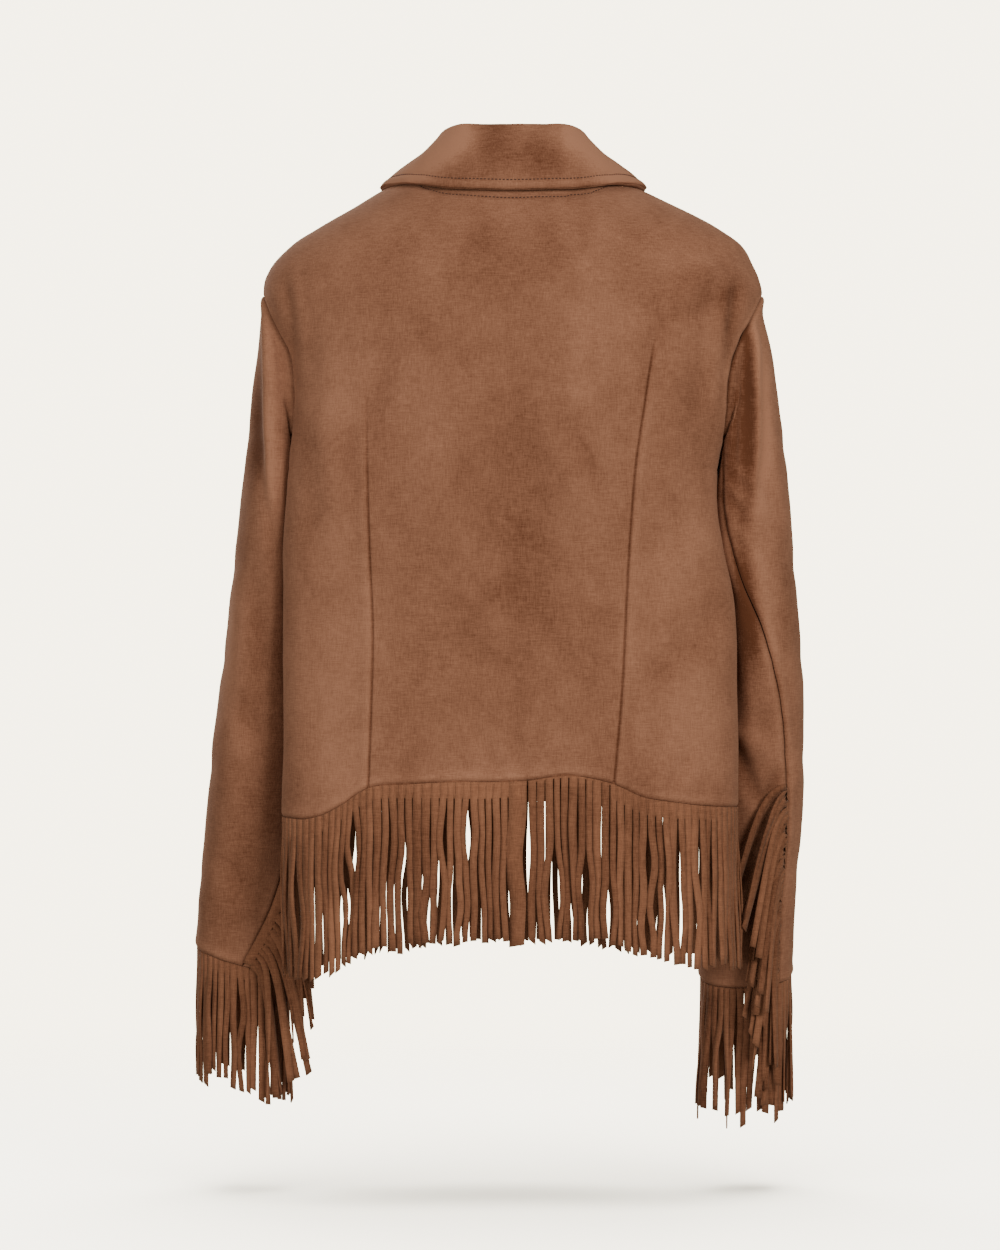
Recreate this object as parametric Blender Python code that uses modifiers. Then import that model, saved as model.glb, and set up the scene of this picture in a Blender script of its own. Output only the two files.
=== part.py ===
"""Fringed buckskin jacket, filled out with no wearer.

The front faces -Y, +Z is up and +X is the wearer's left.  The origin is the centre of the neck
opening, at the height of the back neck seam.  Tables are in millimetres and degrees, and the
objects are in metres.  A turn is an angle about a vertical axis: on the body 0 is the left side,
90 the centre back, 180 the right side, and -90 and 270 the centre front.  On a sleeve 0 is the
outer line, 90 the back, 180 the inner line and 270 the front.
"""

import math

import bpy
import numpy as np

MM = 0.001
UP = np.array((0.0, 0.0, 1.0))

# Cloth
WALL = 1.6                # thickness of the suede
FRINGE_WALL = 3.0         # reach of the loose strands, front to back
SEAM_GAP = 0.3            # between pieces at a seam
SLEEVE_SEAM_GAP = 1.3     # on the sleeve's outer face; the thickness closes much of it inward
FRONT_GAP = 0.6           # from the centre line to each front edge
SLEEVE_CLEARANCE = 1.3    # between a sleeve and the body or fringe that it hangs beside
SLEEVE_SOFTENING = 2.5    # rounding where a sleeve meets that clearance
SLEEVE_CLEAR_LEVEL = -130.0
FRINGE_BESIDE = (-480.0, -500.0)     # between these levels the neighbour becomes the hem's fringe

# Levels on the body
ARMPIT = -239.0
SHOULDER_TIP = -85.0
WAIST_LEVEL = -400.0      # below this the rows lean to follow the hem
SIDE_SEAM_TURN = -14.0    # the side seam runs a little forward of the widest line
NECK_SHIFT_START = (-200.0, -85.0)   # where rows start to lean to the neck: centre, shoulder

# Fringe lengths
HEM_FRINGE_LENGTH = 136.0
CUFF_FRINGE_LENGTH = 106.0
CENTRE_BACK_JOIN = -12.0  # x of the join between the two hem strips
JOIN_CLEARANCE = 0.05     # degrees from the join to each strip
FRINGE_END_TURN = -89.4   # each hem strip stops just short of the centre front
SEAM_FRINGE_STAND_OFF = 3.0

SUEDE = (0.27, 0.11, 0.055, 1.0)
SUEDE_DARK = (0.17, 0.065, 0.032, 1.0)


class Table:
    """Rows of named numbers, read smoothly between the rows by their first column."""

    def __init__(self, columns, rows):
        self.columns = columns
        self.rows = np.array(sorted(rows), dtype=float)
        self.slopes = np.gradient(self.rows, self.rows[:, 0], axis=0)

    def read(self, place):
        keys = self.rows[:, 0]
        place = min(max(place, keys[0]), keys[-1])
        after = int(np.clip(np.searchsorted(keys, place), 1, len(keys) - 1))
        before = after - 1
        span = keys[after] - keys[before]
        step = (place - keys[before]) / span
        near, far = self.rows[before], self.rows[after]
        rise = step * step * (3 - 2 * step)
        lean_out = step * (1 - step) ** 2 * span * self.slopes[before]
        lean_in = step * step * (step - 1) * span * self.slopes[after]
        values = near + (far - near) * rise + lean_out + lean_in
        return dict(zip(self.columns, values))


BODY = Table(
    ("height", "left", "right", "back", "front", "widest", "back_power", "front_power"), (
        (24, 66, 66, 53, -46, -6, 2.0, 2.0),
        (8, 97, 97, 64, -57, -6, 2.0, 2.0),
        (-17, 141, 147, 78, -71, -6, 2.0, 2.0),
        (-42, 185, 193, 87, -81, -6, 2.1, 2.0),
        (-60, 204, 204, 91, -87, -6, 2.2, 2.0),
        (-85, 213, 213, 95, -93, -5, 2.3, 2.0),
        (-110, 208, 211, 98, -99, -3, 2.3, 2.0),
        (-140, 194, 202, 101, -104, 2, 2.3, 1.95),
        (-180, 188, 191, 103, -108, 12, 2.3, 1.9),
        (-240, 188, 172, 101, -106, 24, 2.5, 1.85),
        (-290, 193, 175, 98, -100, 29, 2.6, 1.8),
        (-360, 194, 189, 96, -97, 30, 2.6, 1.8),
        (-440, 195, 191, 99, -100, 30, 2.6, 1.8),
        (-530, 195, 190, 104, -104, 30, 2.6, 1.8),
        (-680, 194, 191, 106, -104, 28, 2.6, 1.8),
    ))

NECK = Table(
    ("turn", "height"), (
        (-90, -62), (-80, -54), (-70, -34), (-55, -10), (-35, 6), (-8, 15), (0, 16),
        (30, 13), (60, 3), (90, 0),
    ))

HEM = Table(
    ("across", "height"), (
        (-195, -525), (-150, -521), (-118, -516), (-97, -511), (-83, -503), (0, -501), (105, -505),
        (122, -507), (136, -516), (152, -526), (170, -533), (195, -533),
    ))
CENTRE_FRONT_HEM = -514.0
HEM_READ_LEVEL = -520.0   # level of the outline that the hem's table is read across
HEM_HALF_WIDTH = 195.0

COLLAR_FOLD = Table(
    ("turn", "height"), (
        (-90, -40), (-70, -14), (-55, 6), (-35, 20), (0, 34), (30, 43.5), (44, 51), (51, 54),
        (60, 53.5), (90, 53),
    ))
COLLAR_EDGE = Table(
    ("turn", "height"), (
        (-70, -108), (-60, -62), (-50, -32), (-35, -10), (-20, 0), (0, 2), (20, 4),
        (45, 2), (60, -2), (90, -5),
    ))
FOLD_SHARE = 0.79         # the fold's distance from the axis, against the neck seam's
FOLD_END_TURN = -86.0     # where the fold ends at the centre front
STAND_END_TURN = -88.0
POINT_TURN = -68.0        # where the collar's point lies
COLLAR_LIFT = 5.6         # from the body cloth out to the collar's edge
COLLAR_RISE = 1.5         # and up to it
COLLAR_BULGE = 3.0        # rounding of the fall between its fold and its edge
FALL_SHARES = (1.0, 0.75, 0.5, 0.25, 0.08)    # of the way from the fold to the edge
FOLD_RADIUS = 4.0
FOLD_INSIDE = WALL + 0.6  # the upper collar's inner turning lies this far inside the stand
COLLAR_TURN_OVER = ((FOLD_RADIUS * 0.4, 0.0), (-FOLD_INSIDE, 1.5), (-FOLD_INSIDE, 7.0))  # out, down
UPPER_COLLAR_OVERHANG = -0.03         # share of the fall by which it covers the under collar
STAND_DROP = 8.0          # the stand ends this far below the fold

# One row for each ring of a sleeve, from the cap down.  "out" and "in" are the ends of the ring
# towards and away from the side, and "drop" is how much lower its back point is.
SLEEVE_COLUMNS = ("out_x", "out_z", "in_x", "in_z", "mid_y", "depth", "drop")
SLEEVE_ROWS = {
    "left": (
        (216, -106, 182, -238, -13, 49, 0),
        (218, -134, 182, -250, -13, 52, 0),
        (222, -168, 182, -266, -14, 54, 0),
        (227, -206, 182, -287, -16, 55, 0),
        (234, -252, 184, -314, -19, 54, 0),
        (240, -302, 178, -346, -22, 53, 0),
        (248, -360, 177, -390, -26, 51, 0),
        (255, -420, 178, -438, -30, 49, 0),
        (261, -480, 181, -493, -34, 47, 0),
        (267, -542, 185, -556, -39, 44, 1),
        (272, -600, 190, -616, -43, 41, 3),
        (276, -648, 193, -670, -46, 40, 4),
    ),
    "right": (
        (217, -106, 170, -238, -5, 54, 0),
        (224, -134, 170, -250, -6, 56, 0),
        (229, -168, 169, -266, -8, 57, 0),
        (233, -208, 167, -287, -10, 57, 0),
        (237, -254, 167, -315, -14, 56, 0),
        (241, -303, 168, -348, -18, 54, 0),
        (247, -360, 171, -392, -23, 52, 0),
        (252, -420, 171, -440, -28, 50, 1),
        (253, -480, 170, -494, -34, 48, 3),
        (251, -545, 167, -556, -41, 45, 5),
        (245, -610, 163, -618, -48, 42, 7),
        (244, -672, 162, -676, -54, 40, 9),
    ),
}
SLEEVE_POWER = 2.2
FOLD_RING_RADIUS = 45.0   # typical radius of a sleeve, against which a fold's depth is measured
SLEEVE_HEAD_SHRINK = 1.6  # the sleeve turns out over the body's edge in this much of the armhole
SLEEVE_HEAD_LIFT = (1.8, 4.0)        # out from the body: at the shoulder, at the armpit
ARMHOLE = {"left": {"mid_y": -14.0, "depth": 46.0}, "right": {"mid_y": -5.0, "depth": 54.0}}

# Turn of the fringed back seam on each sleeve, by row of the sleeve
BACK_SEAM = {
    "left": Table(("row", "turn"), ((0, 128), (4, 140), (8, 152), (9, 146), (10, 122), (11, 92))),
    "right": Table(("row", "turn"), ((0, 130), (3, 127), (5, 104), (6, 84), (8, 56), (11, 52))),
}
FRONT_SEAM_TURN = 245.0

# Largest folds of each sleeve: a trough at a row and a turn, with its half-length in rows, its
# half-width in degrees and its depth.
FOLD_COLUMNS = ("row", "turn", "length", "width", "depth")
SLEEVE_FOLDS = {
    "left": ((3.2, 60, 2.6, 22, 3.5), (6.5, 20, 3.0, 16, 2.5), (5.0, 250, 1.5, 30, 4.0)),
    "right": ((3.0, 78, 3.0, 17, 5.0), (8.2, 95, 0.7, 40, 5.0), (5.2, 255, 1.4, 30, 4.0)),
}

# Reach of the strands let into the back seam: between two turns at each height
SEAM_FRINGE_COLUMNS = ("height", "from_turn", "to_turn")
SEAM_FRINGE = {
    "left": Table(SEAM_FRINGE_COLUMNS, (
        (-560, 126, 134), (-580, 118, 136), (-612, 106, 140), (-655, 90, 148))),
    "right": Table(SEAM_FRINGE_COLUMNS, (
        (-510, 46, 62), (-550, 32, 78), (-600, 24, 92), (-660, 22, 98))),
}
HALVINGS = 24             # steps of the search for a sleeve's row at a height
SEAM_FRINGE_TIP = {"left": -764.0, "right": -788.0}
SEAM_FRINGE_ROWS = 6
SEAM_FRINGE_COLUMNS_ACROSS = 6

BACK_COLUMNS = 22
FRONT_COLUMNS = 11
DART_COLUMN = {"left": 3, "right": 2}         # column from the centre back that meets the dart
DART_FOOT = {"left": 122.0, "right": -83.0}   # x of each dart's foot, at the hem
SLEEVE_TOP_COLUMNS = 10
SLEEVE_UNDER_COLUMNS = 7
COLLAR_COLUMNS = 22
LOWER_LEVELS = (0.0, 0.35, 0.7)               # shares of the way from the hem to the waist level
SIDE_LEVELS = (WAIST_LEVEL, -350, -300, -265)
ARMHOLE_STEPS = 10
SHOULDER_LEVELS = (-76, -64, -52, -40, -28, -14, 0)


def signed_power(value, power):
    return math.copysign(abs(value) ** power, value)


def ease_spacing(count, start, end):
    """Numbers from start to end that lie closer together near both ends."""
    shares = [(1 - math.cos(math.pi * step / count)) / 2 for step in range(count + 1)]
    return [start + (end - start) * share for share in shares]


# ---------------------------------------------------------------- body surface

def body_point(turn, height):
    row = BODY.read(height)
    across, along = math.cos(math.radians(turn)), math.sin(math.radians(turn))
    half_width = row["left"] if across > 0 else row["right"]
    behind = along > 0
    power = 2 / (row["back_power"] if behind else row["front_power"])
    depth = row["back"] - row["widest"] if behind else row["widest"] - row["front"]
    x = half_width * signed_power(across, power)
    y = row["widest"] + depth * signed_power(along, power)
    return np.array((x, y, height))


def turn_at_depth(y, height):
    """Turn, on the left half, at which the body's outline reaches y."""
    row = BODY.read(height)
    behind = y > row["widest"]
    depth = row["back"] - row["widest"] if behind else row["widest"] - row["front"]
    power = row["back_power"] if behind else row["front_power"]
    share = min(abs(y - row["widest"]) / depth, 1.0) ** (power / 2)
    return math.copysign(math.degrees(math.asin(share)), y - row["widest"])


def turn_at_width(x, height, behind):
    """Turn at which the body's outline reaches x, on its back or its front."""
    row = BODY.read(height)
    half_width = row["left"] if x > 0 else row["right"]
    power = row["back_power"] if behind else row["front_power"]
    turn = math.degrees(math.acos(signed_power(x / half_width, power / 2)))
    return turn if behind else -turn


def body_half_width(side, y, height):
    """Distance of the body's side surface from the middle plane, at depth y."""
    turn = turn_at_depth(y, height)
    return abs(body_point(turn if side == "left" else 180 - turn, height)[0])


def own_side(turn):
    """The same turn mirrored to the left half, from -90 to 90."""
    return turn if turn <= 90 else 180 - turn


def hem_height(turn):
    near_front = max(0.0, -math.sin(math.radians(turn)))
    across = body_point(turn, HEM_READ_LEVEL)[0]
    side = HEM.read(math.copysign(HEM_HALF_WIDTH, across))["height"]
    front = side + (CENTRE_FRONT_HEM - side) * near_front ** 2
    share = min(1.0, near_front * 3)
    return HEM.read(across)["height"] * (1 - share) + front * share


def neck_height(turn):
    return NECK.read(own_side(turn))["height"]


# ---------------------------------------------------------------- armhole

def armhole_point(side, phase, shrink=0.0):
    """Point on the armhole seam: phase 0 is the shoulder tip, 90 the back and 180 the armpit."""
    middle = (SHOULDER_TIP + ARMPIT) / 2
    half_height = (SHOULDER_TIP - ARMPIT) / 2
    height = middle + (half_height - shrink) * math.cos(math.radians(phase))
    turn = armhole_turn(side, height, phase % 360 < 180, shrink)
    return body_point(turn if side == "left" else 180 - turn, height)


def armhole_turn(side, height, behind, shrink=0.0):
    """Turn of the armhole's back or front edge at a height."""
    middle = (SHOULDER_TIP + ARMPIT) / 2
    half_height = (SHOULDER_TIP - ARMPIT) / 2 - shrink
    rise = min(max((height - middle) / half_height, -1.0), 1.0)
    swing = math.sqrt(1 - rise * rise) * (1 if behind else -1)
    top = body_point(shoulder_turn(SHOULDER_TIP), SHOULDER_TIP)[1]
    foot = body_point(SIDE_SEAM_TURN, ARMPIT)[1]
    bulge = 1 - rise * rise
    ends = (top + foot) / 2 + (top - foot) / 2 * rise
    centre = ends + (ARMHOLE[side]["mid_y"] - (top + foot) / 2) * bulge
    return turn_at_depth(centre + (ARMHOLE[side]["depth"] - shrink) * swing, height)


def shoulder_turn(height):
    """The shoulder seam lies on the ridge, a touch forward near the neck."""
    share = (height - SHOULDER_TIP) / -SHOULDER_TIP
    return -8.0 * min(max(share, 0.0), 1.0)


def body_rows():
    """Rows of the back and fronts, from the hem to the neck: (kind, value)."""
    rows = [("lower", share) for share in LOWER_LEVELS]
    rows += [("level", level) for level in SIDE_LEVELS]
    for step in range(ARMHOLE_STEPS + 1):
        rows.append(("armhole", 180 - 180 * step / ARMHOLE_STEPS))
    rows += [("level", level) for level in SHOULDER_LEVELS]
    return rows


def row_level(kind, value):
    if kind == "armhole":
        middle = (SHOULDER_TIP + ARMPIT) / 2
        half_height = (SHOULDER_TIP - ARMPIT) / 2
        return middle + half_height * math.cos(math.radians(value))
    return value


def edge_turn(side, level, behind):
    """Turn of a panel's outer edge: the side seam, the armhole or the shoulder seam."""
    if level < ARMPIT + 0.01:
        return SIDE_SEAM_TURN
    if level < SHOULDER_TIP - 0.01:
        return armhole_turn(side, level, behind)
    return shoulder_turn(level)


def neck_shift(level, turn, share):
    """How far a row leans up or down, so that the last one lies on the neck seam."""
    start = NECK_SHIFT_START[0] + (NECK_SHIFT_START[1] - NECK_SHIFT_START[0]) * share
    weight = min(max((level - start) / -start, 0.0), 1.0)
    return weight * neck_height(turn)


def back_shares(side):
    """Shares of the way from the centre back to the edge, with a column at the dart's foot."""
    half = BACK_COLUMNS // 2
    foot = own_side(turn_at_width(DART_FOOT[side], HEM_READ_LEVEL, True))
    dart = (90 - foot) / (90 - SIDE_SEAM_TURN)
    return np.interp(np.linspace(0, 1, half + 1), (0, DART_COLUMN[side] / half, 1), (0, dart, 1))


def panel_point(side, kind, value, share, behind):
    """Point on a back or front panel; share runs from the centre line, 0, to the edge, 1."""
    centre_turn = 90.0 if behind else -90.0
    level = row_level(kind, value)
    if kind == "lower":
        outer = SIDE_SEAM_TURN
    else:
        outer = edge_turn(side, level, behind)
    turn = centre_turn + (outer - centre_turn) * share
    world_turn = turn if side == "left" else 180 - turn
    if kind == "lower":
        height = hem_height(world_turn)
        height += (WAIST_LEVEL - height) * value
    else:
        height = level + neck_shift(level, turn, share)
    return body_point(world_turn, height)


def moved_off_seam(points, gap):
    """Pull the outer columns and the top and bottom rows of a grid in from the seams."""
    grid = np.array(points)
    for edge, inner in ((0, 1), (-1, -2)):
        step = grid[:, inner] - grid[:, edge]
        grid[:, edge] += step * (gap / np.linalg.norm(step, axis=1))[:, None]
    for edge, inner in ((0, 1), (-1, -2)):
        step = grid[inner] - grid[edge]
        grid[edge] += step * (gap / np.linalg.norm(step, axis=1))[:, None]
    return grid


def moved_off_columns(grid):
    """Pull a sleeve piece's two long edges in from its seams."""
    grid = np.array(grid)
    for edge, inner in ((0, 1), (-1, -2)):
        step = grid[:, inner] - grid[:, edge]
        grid[:, edge] += step * (SLEEVE_SEAM_GAP / 2 / np.linalg.norm(step, axis=1))[:, None]
    return grid


# ---------------------------------------------------------------- sleeves

def sleeve_ring_point(side, row, turn):
    """Point on a sleeve's outer face; row 0 is the first ring below the armhole."""
    rows = SLEEVE_ROWS[side]
    low = int(min(max(row, 0), len(rows) - 2))
    share = row - low
    values = np.array(rows[low]) * (1 - share) + np.array(rows[low + 1]) * share
    ring = dict(zip(SLEEVE_COLUMNS, values))
    outward = math.cos(math.radians(turn))
    backward = math.sin(math.radians(turn))
    a = signed_power(outward, 2 / SLEEVE_POWER)
    b = signed_power(backward, 2 / SLEEVE_POWER)
    sunk = fold_depth(side, row, turn)
    a *= 1 - sunk / FOLD_RING_RADIUS
    b *= 1 - sunk / FOLD_RING_RADIUS
    x = (ring["out_x"] + ring["in_x"]) / 2 + a * (ring["out_x"] - ring["in_x"]) / 2
    z = (ring["out_z"] + ring["in_z"]) / 2 + a * (ring["out_z"] - ring["in_z"]) / 2
    y = ring["mid_y"] + b * ring["depth"]
    z -= b * ring["drop"]
    if z < SLEEVE_CLEAR_LEVEL:
        lower = min(max((FRINGE_BESIDE[0] - z) / (FRINGE_BESIDE[0] - FRINGE_BESIDE[1]), 0.0), 1.0)
        neighbour = WALL + (FRINGE_WALL - WALL) * lower
        nearest = body_half_width(side, y, z) + neighbour + SLEEVE_CLEARANCE
        x = (x + nearest + math.hypot(x - nearest, SLEEVE_SOFTENING)) / 2
    return np.array((x if side == "left" else -x, y, z))


def fold_depth(side, row, turn):
    total = 0.0
    for values in SLEEVE_FOLDS[side]:
        fold = dict(zip(FOLD_COLUMNS, values))
        along = (row - fold["row"]) / fold["length"]
        around = ((turn - fold["turn"] + 180) % 360 - 180) / fold["width"]
        total += fold["depth"] * math.exp(-along * along - around * around)
    return total


def sleeve_armhole_point(side, turn, shrink, lift):
    """Point beside the armhole's straight cloth edges, inside them and out from the body."""
    step = 180 / ARMHOLE_STEPS
    before = math.floor(turn / step) * step
    share = (turn - before) / step
    start = armhole_point(side, before % 360, shrink)
    end = armhole_point(side, (before + step) % 360, shrink)
    point = start + (end - start) * share
    inner = (1 - math.cos(math.radians(turn))) / 2
    point[0] += math.copysign(lift[0] + (lift[1] - lift[0]) * inner, point[0])
    return point


def sleeve_turns(side, row, under):
    """Turns of a sleeve piece's columns, from one of its seams to the other."""
    back_seam = BACK_SEAM[side].read(row)["turn"]
    if under:
        return ease_spacing(SLEEVE_UNDER_COLUMNS, back_seam, FRONT_SEAM_TURN)
    return ease_spacing(SLEEVE_TOP_COLUMNS, FRONT_SEAM_TURN - 360, back_seam)


def sleeve_grid(side, under):
    """Rows from the cuff up to the armhole."""
    grid = []
    for row in range(len(SLEEVE_ROWS[side]) - 1, -1, -1):
        turns = sleeve_turns(side, row, under)
        grid.append([sleeve_ring_point(side, row, turn) for turn in turns])
    for shrink, lift in ((SLEEVE_HEAD_SHRINK, SLEEVE_HEAD_LIFT), (SEAM_GAP, (0.0, 0.0))):
        turns = sleeve_turns(side, 0, under)
        grid.append([sleeve_armhole_point(side, turn, shrink, lift) for turn in turns])
    return np.array(grid)


def outward_from(centre, point):
    step = point - centre
    step[2] = 0.0
    return step / np.linalg.norm(step)


def cuff_fringe_grid(side):
    """The last ring of a sleeve, carried straight down."""
    last = len(SLEEVE_ROWS[side]) - 1
    turns = sleeve_turns(side, last, False)[:-1] + sleeve_turns(side, last, True)[:-1]
    ring = np.array([sleeve_ring_point(side, last, turn) for turn in turns])
    grid = []
    for share in (1.0, 0.5, 0.0):
        fallen = ring.copy()
        fallen[:, 2] -= SEAM_GAP + CUFF_FRINGE_LENGTH * share
        grid.append(fallen)
    return np.array(grid)


def seam_fringe_grid(side):
    """Strands let into the back seam, lying over the sleeve and then over the cuff's fringe."""
    table = SEAM_FRINGE[side]
    start = table.rows[-1, 0]
    foot = table.rows[0, 0]
    heights = list(np.linspace(start, foot, SEAM_FRINGE_ROWS)) + [
        (foot + SEAM_FRINGE_TIP[side]) / 2, SEAM_FRINGE_TIP[side]]
    grid = []
    for height in reversed(heights):
        reach = table.read(height)
        columns = []
        for turn in np.linspace(reach["from_turn"], reach["to_turn"], SEAM_FRINGE_COLUMNS_ACROSS):
            row = sleeve_row_at(side, turn, max(height, foot))
            skin = sleeve_ring_point(side, row, turn)
            centre = (sleeve_ring_point(side, row, 0) + sleeve_ring_point(side, row, 180)) / 2
            away = outward_from(centre, skin)
            point = skin + away * SEAM_FRINGE_STAND_OFF
            point[2] = height
            columns.append(point)
        grid.append(columns)
    return np.array(grid)


def sleeve_row_at(side, turn, height):
    """Row of a sleeve whose point at this turn lies at this height."""
    low, high = 0.0, len(SLEEVE_ROWS[side]) - 1.0
    for _ in range(HALVINGS):
        middle = (low + high) / 2
        if sleeve_ring_point(side, middle, turn)[2] > height:
            low = middle
        else:
            high = middle
    return (low + high) / 2


# ---------------------------------------------------------------- collar

def away_from_axis(turn):
    return np.array((math.cos(math.radians(turn)), math.sin(math.radians(turn)), 0.0))


def fold_point(turn):
    """Crest line of the collar, where it turns over, inside the neck seam and above it."""
    x, y, _ = body_point(turn, neck_height(turn)) * FOLD_SHARE
    return np.array((x, y, COLLAR_FOLD.read(own_side(turn))["height"]))


def collar_edge_point(turn):
    """Lower edge of the collar: the body's own points, moved out."""
    height = COLLAR_EDGE.read(own_side(turn))["height"]
    return body_point(turn, height) + away_from_axis(turn) * COLLAR_LIFT + UP * COLLAR_RISE


def clear_of_body(point):
    """Move a point of the fall out to where the body's cloth leaves it room."""
    row = BODY.read(point[2])
    step = np.array((point[0], point[1] - row["widest"], 0.0))
    half_width = row["left"] if step[0] > 0 else row["right"]
    behind = step[1] > 0
    depth = row["back"] - row["widest"] if behind else row["widest"] - row["front"]
    power = row["back_power"] if behind else row["front_power"]
    reach = ((abs(step[0]) / half_width) ** power + (abs(step[1]) / depth) ** power) ** (1 / power)
    distance = np.linalg.norm(step)
    needed = distance / reach + COLLAR_LIFT
    return point + step / distance * max(0.0, needed - distance)


def collar_turns(end):
    return [90 + (90 - end) * share for share in np.linspace(-1, 1, COLLAR_COLUMNS + 1)]


def neck_turns():
    seam = shoulder_turn(0.0)
    left = panel_turns("left", STAND_END_TURN, seam)
    return left + panel_turns("right", STAND_END_TURN, seam)[1:]


def stand_grid():
    rows = []
    for share in (0.0, 0.5, 1.0):
        row = []
        for turn in neck_turns():
            foot = body_point(turn, neck_height(turn)) + UP * SEAM_GAP
            top = fold_point(turn) - UP * STAND_DROP
            row.append(foot + (top - foot) * share)
        rows.append(row)
    return np.array(rows)


def grid_normals(grid):
    along = np.gradient(grid, axis=1)
    upward = np.gradient(grid, axis=0)
    normals = np.cross(along, upward)
    return normals / np.linalg.norm(normals, axis=2, keepdims=True)


def under_collar_grid():
    """The fall, from its edge up to just below the fold, lifted clear of the body's cloth."""
    rows = []
    for share in FALL_SHARES:
        row = []
        for fold_turn, lower_turn in zip(collar_turns(FOLD_END_TURN), collar_turns(POINT_TURN)):
            top = fold_point(fold_turn) + away_from_axis(fold_turn) * FOLD_RADIUS - UP * FOLD_RADIUS
            edge = collar_edge_point(lower_turn)
            bulge = (away_from_axis(fold_turn) + UP) * COLLAR_BULGE * math.sin(math.pi * share)
            row.append(clear_of_body(top + (edge - top) * share + bulge))
        rows.append(row)
    return np.array(rows)


def upper_collar_grid():
    """The under collar's points, moved out, then over the fold and down inside the stand."""
    under = under_collar_grid()
    fall = under + grid_normals(under) * (WALL + SEAM_GAP)
    fall[0] += (fall[0] - fall[1]) * UPPER_COLLAR_OVERHANG
    rows = list(fall)
    for outward, down in COLLAR_TURN_OVER:
        rows.append([fold_point(turn) + away_from_axis(turn) * outward - UP * down
                     for turn in collar_turns(FOLD_END_TURN)])
    return np.array(rows)


# ---------------------------------------------------------------- panels

def back_grid():
    rows = []
    for kind, value in body_rows():
        left = [panel_point("left", kind, value, share, True)
                for share in back_shares("left")[::-1]]
        right = [panel_point("right", kind, value, share, True)
                 for share in back_shares("right")]
        rows.append(left + right[1:])
    return moved_off_seam(rows, SEAM_GAP / 2)


def front_grid(side):
    rows = []
    for kind, value in body_rows():
        row = [panel_point(side, kind, value, share, False)
               for share in np.linspace(0, 1, FRONT_COLUMNS + 1)]
        row[0] = row[0] + np.array((FRONT_GAP if side == "left" else -FRONT_GAP, 0, 0))
        rows.append(row)
    grid = moved_off_seam(rows, SEAM_GAP / 2)
    return grid if side == "left" else grid[:, ::-1]


def panel_turns(side, first, seam):
    """Turns of one half's columns from the centre front to the centre back, by seam turn."""
    front = np.linspace(-90, seam, FRONT_COLUMNS + 1)[1:]
    back = 90 + (seam - 90) * back_shares(side)[-2::-1]
    half = [first, *front, *back]
    return half if side == "left" else [180 - turn for turn in half[::-1]]


def hem_strip_turns(side):
    """From the centre front round to the join at the back."""
    half = panel_turns(side, FRINGE_END_TURN, SIDE_SEAM_TURN)
    join = turn_at_width(CENTRE_BACK_JOIN, HEM_READ_LEVEL, True)
    if side == "left":
        return half + [join - JOIN_CLEARANCE]
    return [join + JOIN_CLEARANCE] + half[1:]


def hem_fringe_grid(side):
    """A strip between the centre front and the join at the back, as wide as the strands reach."""
    rows = []
    for share in (1.0, 0.5, 0.0):
        row = []
        for turn in hem_strip_turns(side):
            height = hem_height(turn) - SEAM_GAP - HEM_FRINGE_LENGTH * share
            row.append(body_point(turn, height))
        rows.append(row)
    return np.array(rows)


# ---------------------------------------------------------------- objects

def clear_scene():
    for item in list(bpy.data.objects):
        bpy.data.objects.remove(item, do_unlink=True)


def suede(name, colour):
    material = bpy.data.materials.new(name)
    material.use_nodes = True
    shader = material.node_tree.nodes["Principled BSDF"]
    shader.inputs["Base Color"].default_value = colour
    shader.inputs["Roughness"].default_value = 0.92
    shader.inputs["Metallic"].default_value = 0.0
    return material


def cloth(collection, name, grid, wall, grows_outward, closed=False, colour=SUEDE):
    """A grid of points, thickened; its rows run upward and its columns anticlockwise."""
    rows, columns = grid.shape[:2]
    points = [tuple(point * MM) for point in grid.reshape(-1, 3)]
    faces = []
    for row in range(rows - 1):
        for column in range(columns if closed else columns - 1):
            beside = (column + 1) % columns
            faces.append((row * columns + column, row * columns + beside,
                          (row + 1) * columns + beside, (row + 1) * columns + column))
    mesh = bpy.data.meshes.new(name)
    mesh.from_pydata(points, [], faces)
    mesh.shade_smooth()
    item = bpy.data.objects.new(name, mesh)
    collection.objects.link(item)
    thicken = item.modifiers.new("Thickness", "SOLIDIFY")
    thicken.thickness = wall * MM
    thicken.offset = 1.0 if grows_outward else -1.0
    item.data.materials.append(suede(name, colour))
    return item


def mirrored_columns(grid, side):
    """Right-hand grids run the other way round, so their columns are reversed."""
    return grid if side == "left" else grid[:, ::-1]


def build():
    clear_scene()
    jacket = bpy.data.collections.new("fringed_buckskin_jacket")
    bpy.context.scene.collection.children.link(jacket)
    cloth(jacket, "back", back_grid(), WALL, True)
    for side in ("left", "right"):
        cloth(jacket, f"front_{side}", front_grid(side), WALL, True)
        for part, under in (("top", False), ("under", True)):
            grid = moved_off_columns(sleeve_grid(side, under))
            cloth(jacket, f"sleeve_{side}_{part}", mirrored_columns(grid, side), WALL, False)
        cloth(jacket, f"hem_fringe_{side}", hem_fringe_grid(side), FRINGE_WALL, True,
              colour=SUEDE_DARK)
        cloth(jacket, f"cuff_fringe_{side}", mirrored_columns(cuff_fringe_grid(side), side),
              WALL, False, closed=True, colour=SUEDE_DARK)
        cloth(jacket, f"sleeve_fringe_{side}", mirrored_columns(seam_fringe_grid(side), side),
              FRINGE_WALL, True, colour=SUEDE_DARK)
    cloth(jacket, "collar_stand", stand_grid(), WALL, False)
    cloth(jacket, "collar_under", under_collar_grid(), WALL, True)
    cloth(jacket, "collar_upper", upper_collar_grid(), WALL, True)


build()
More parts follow.
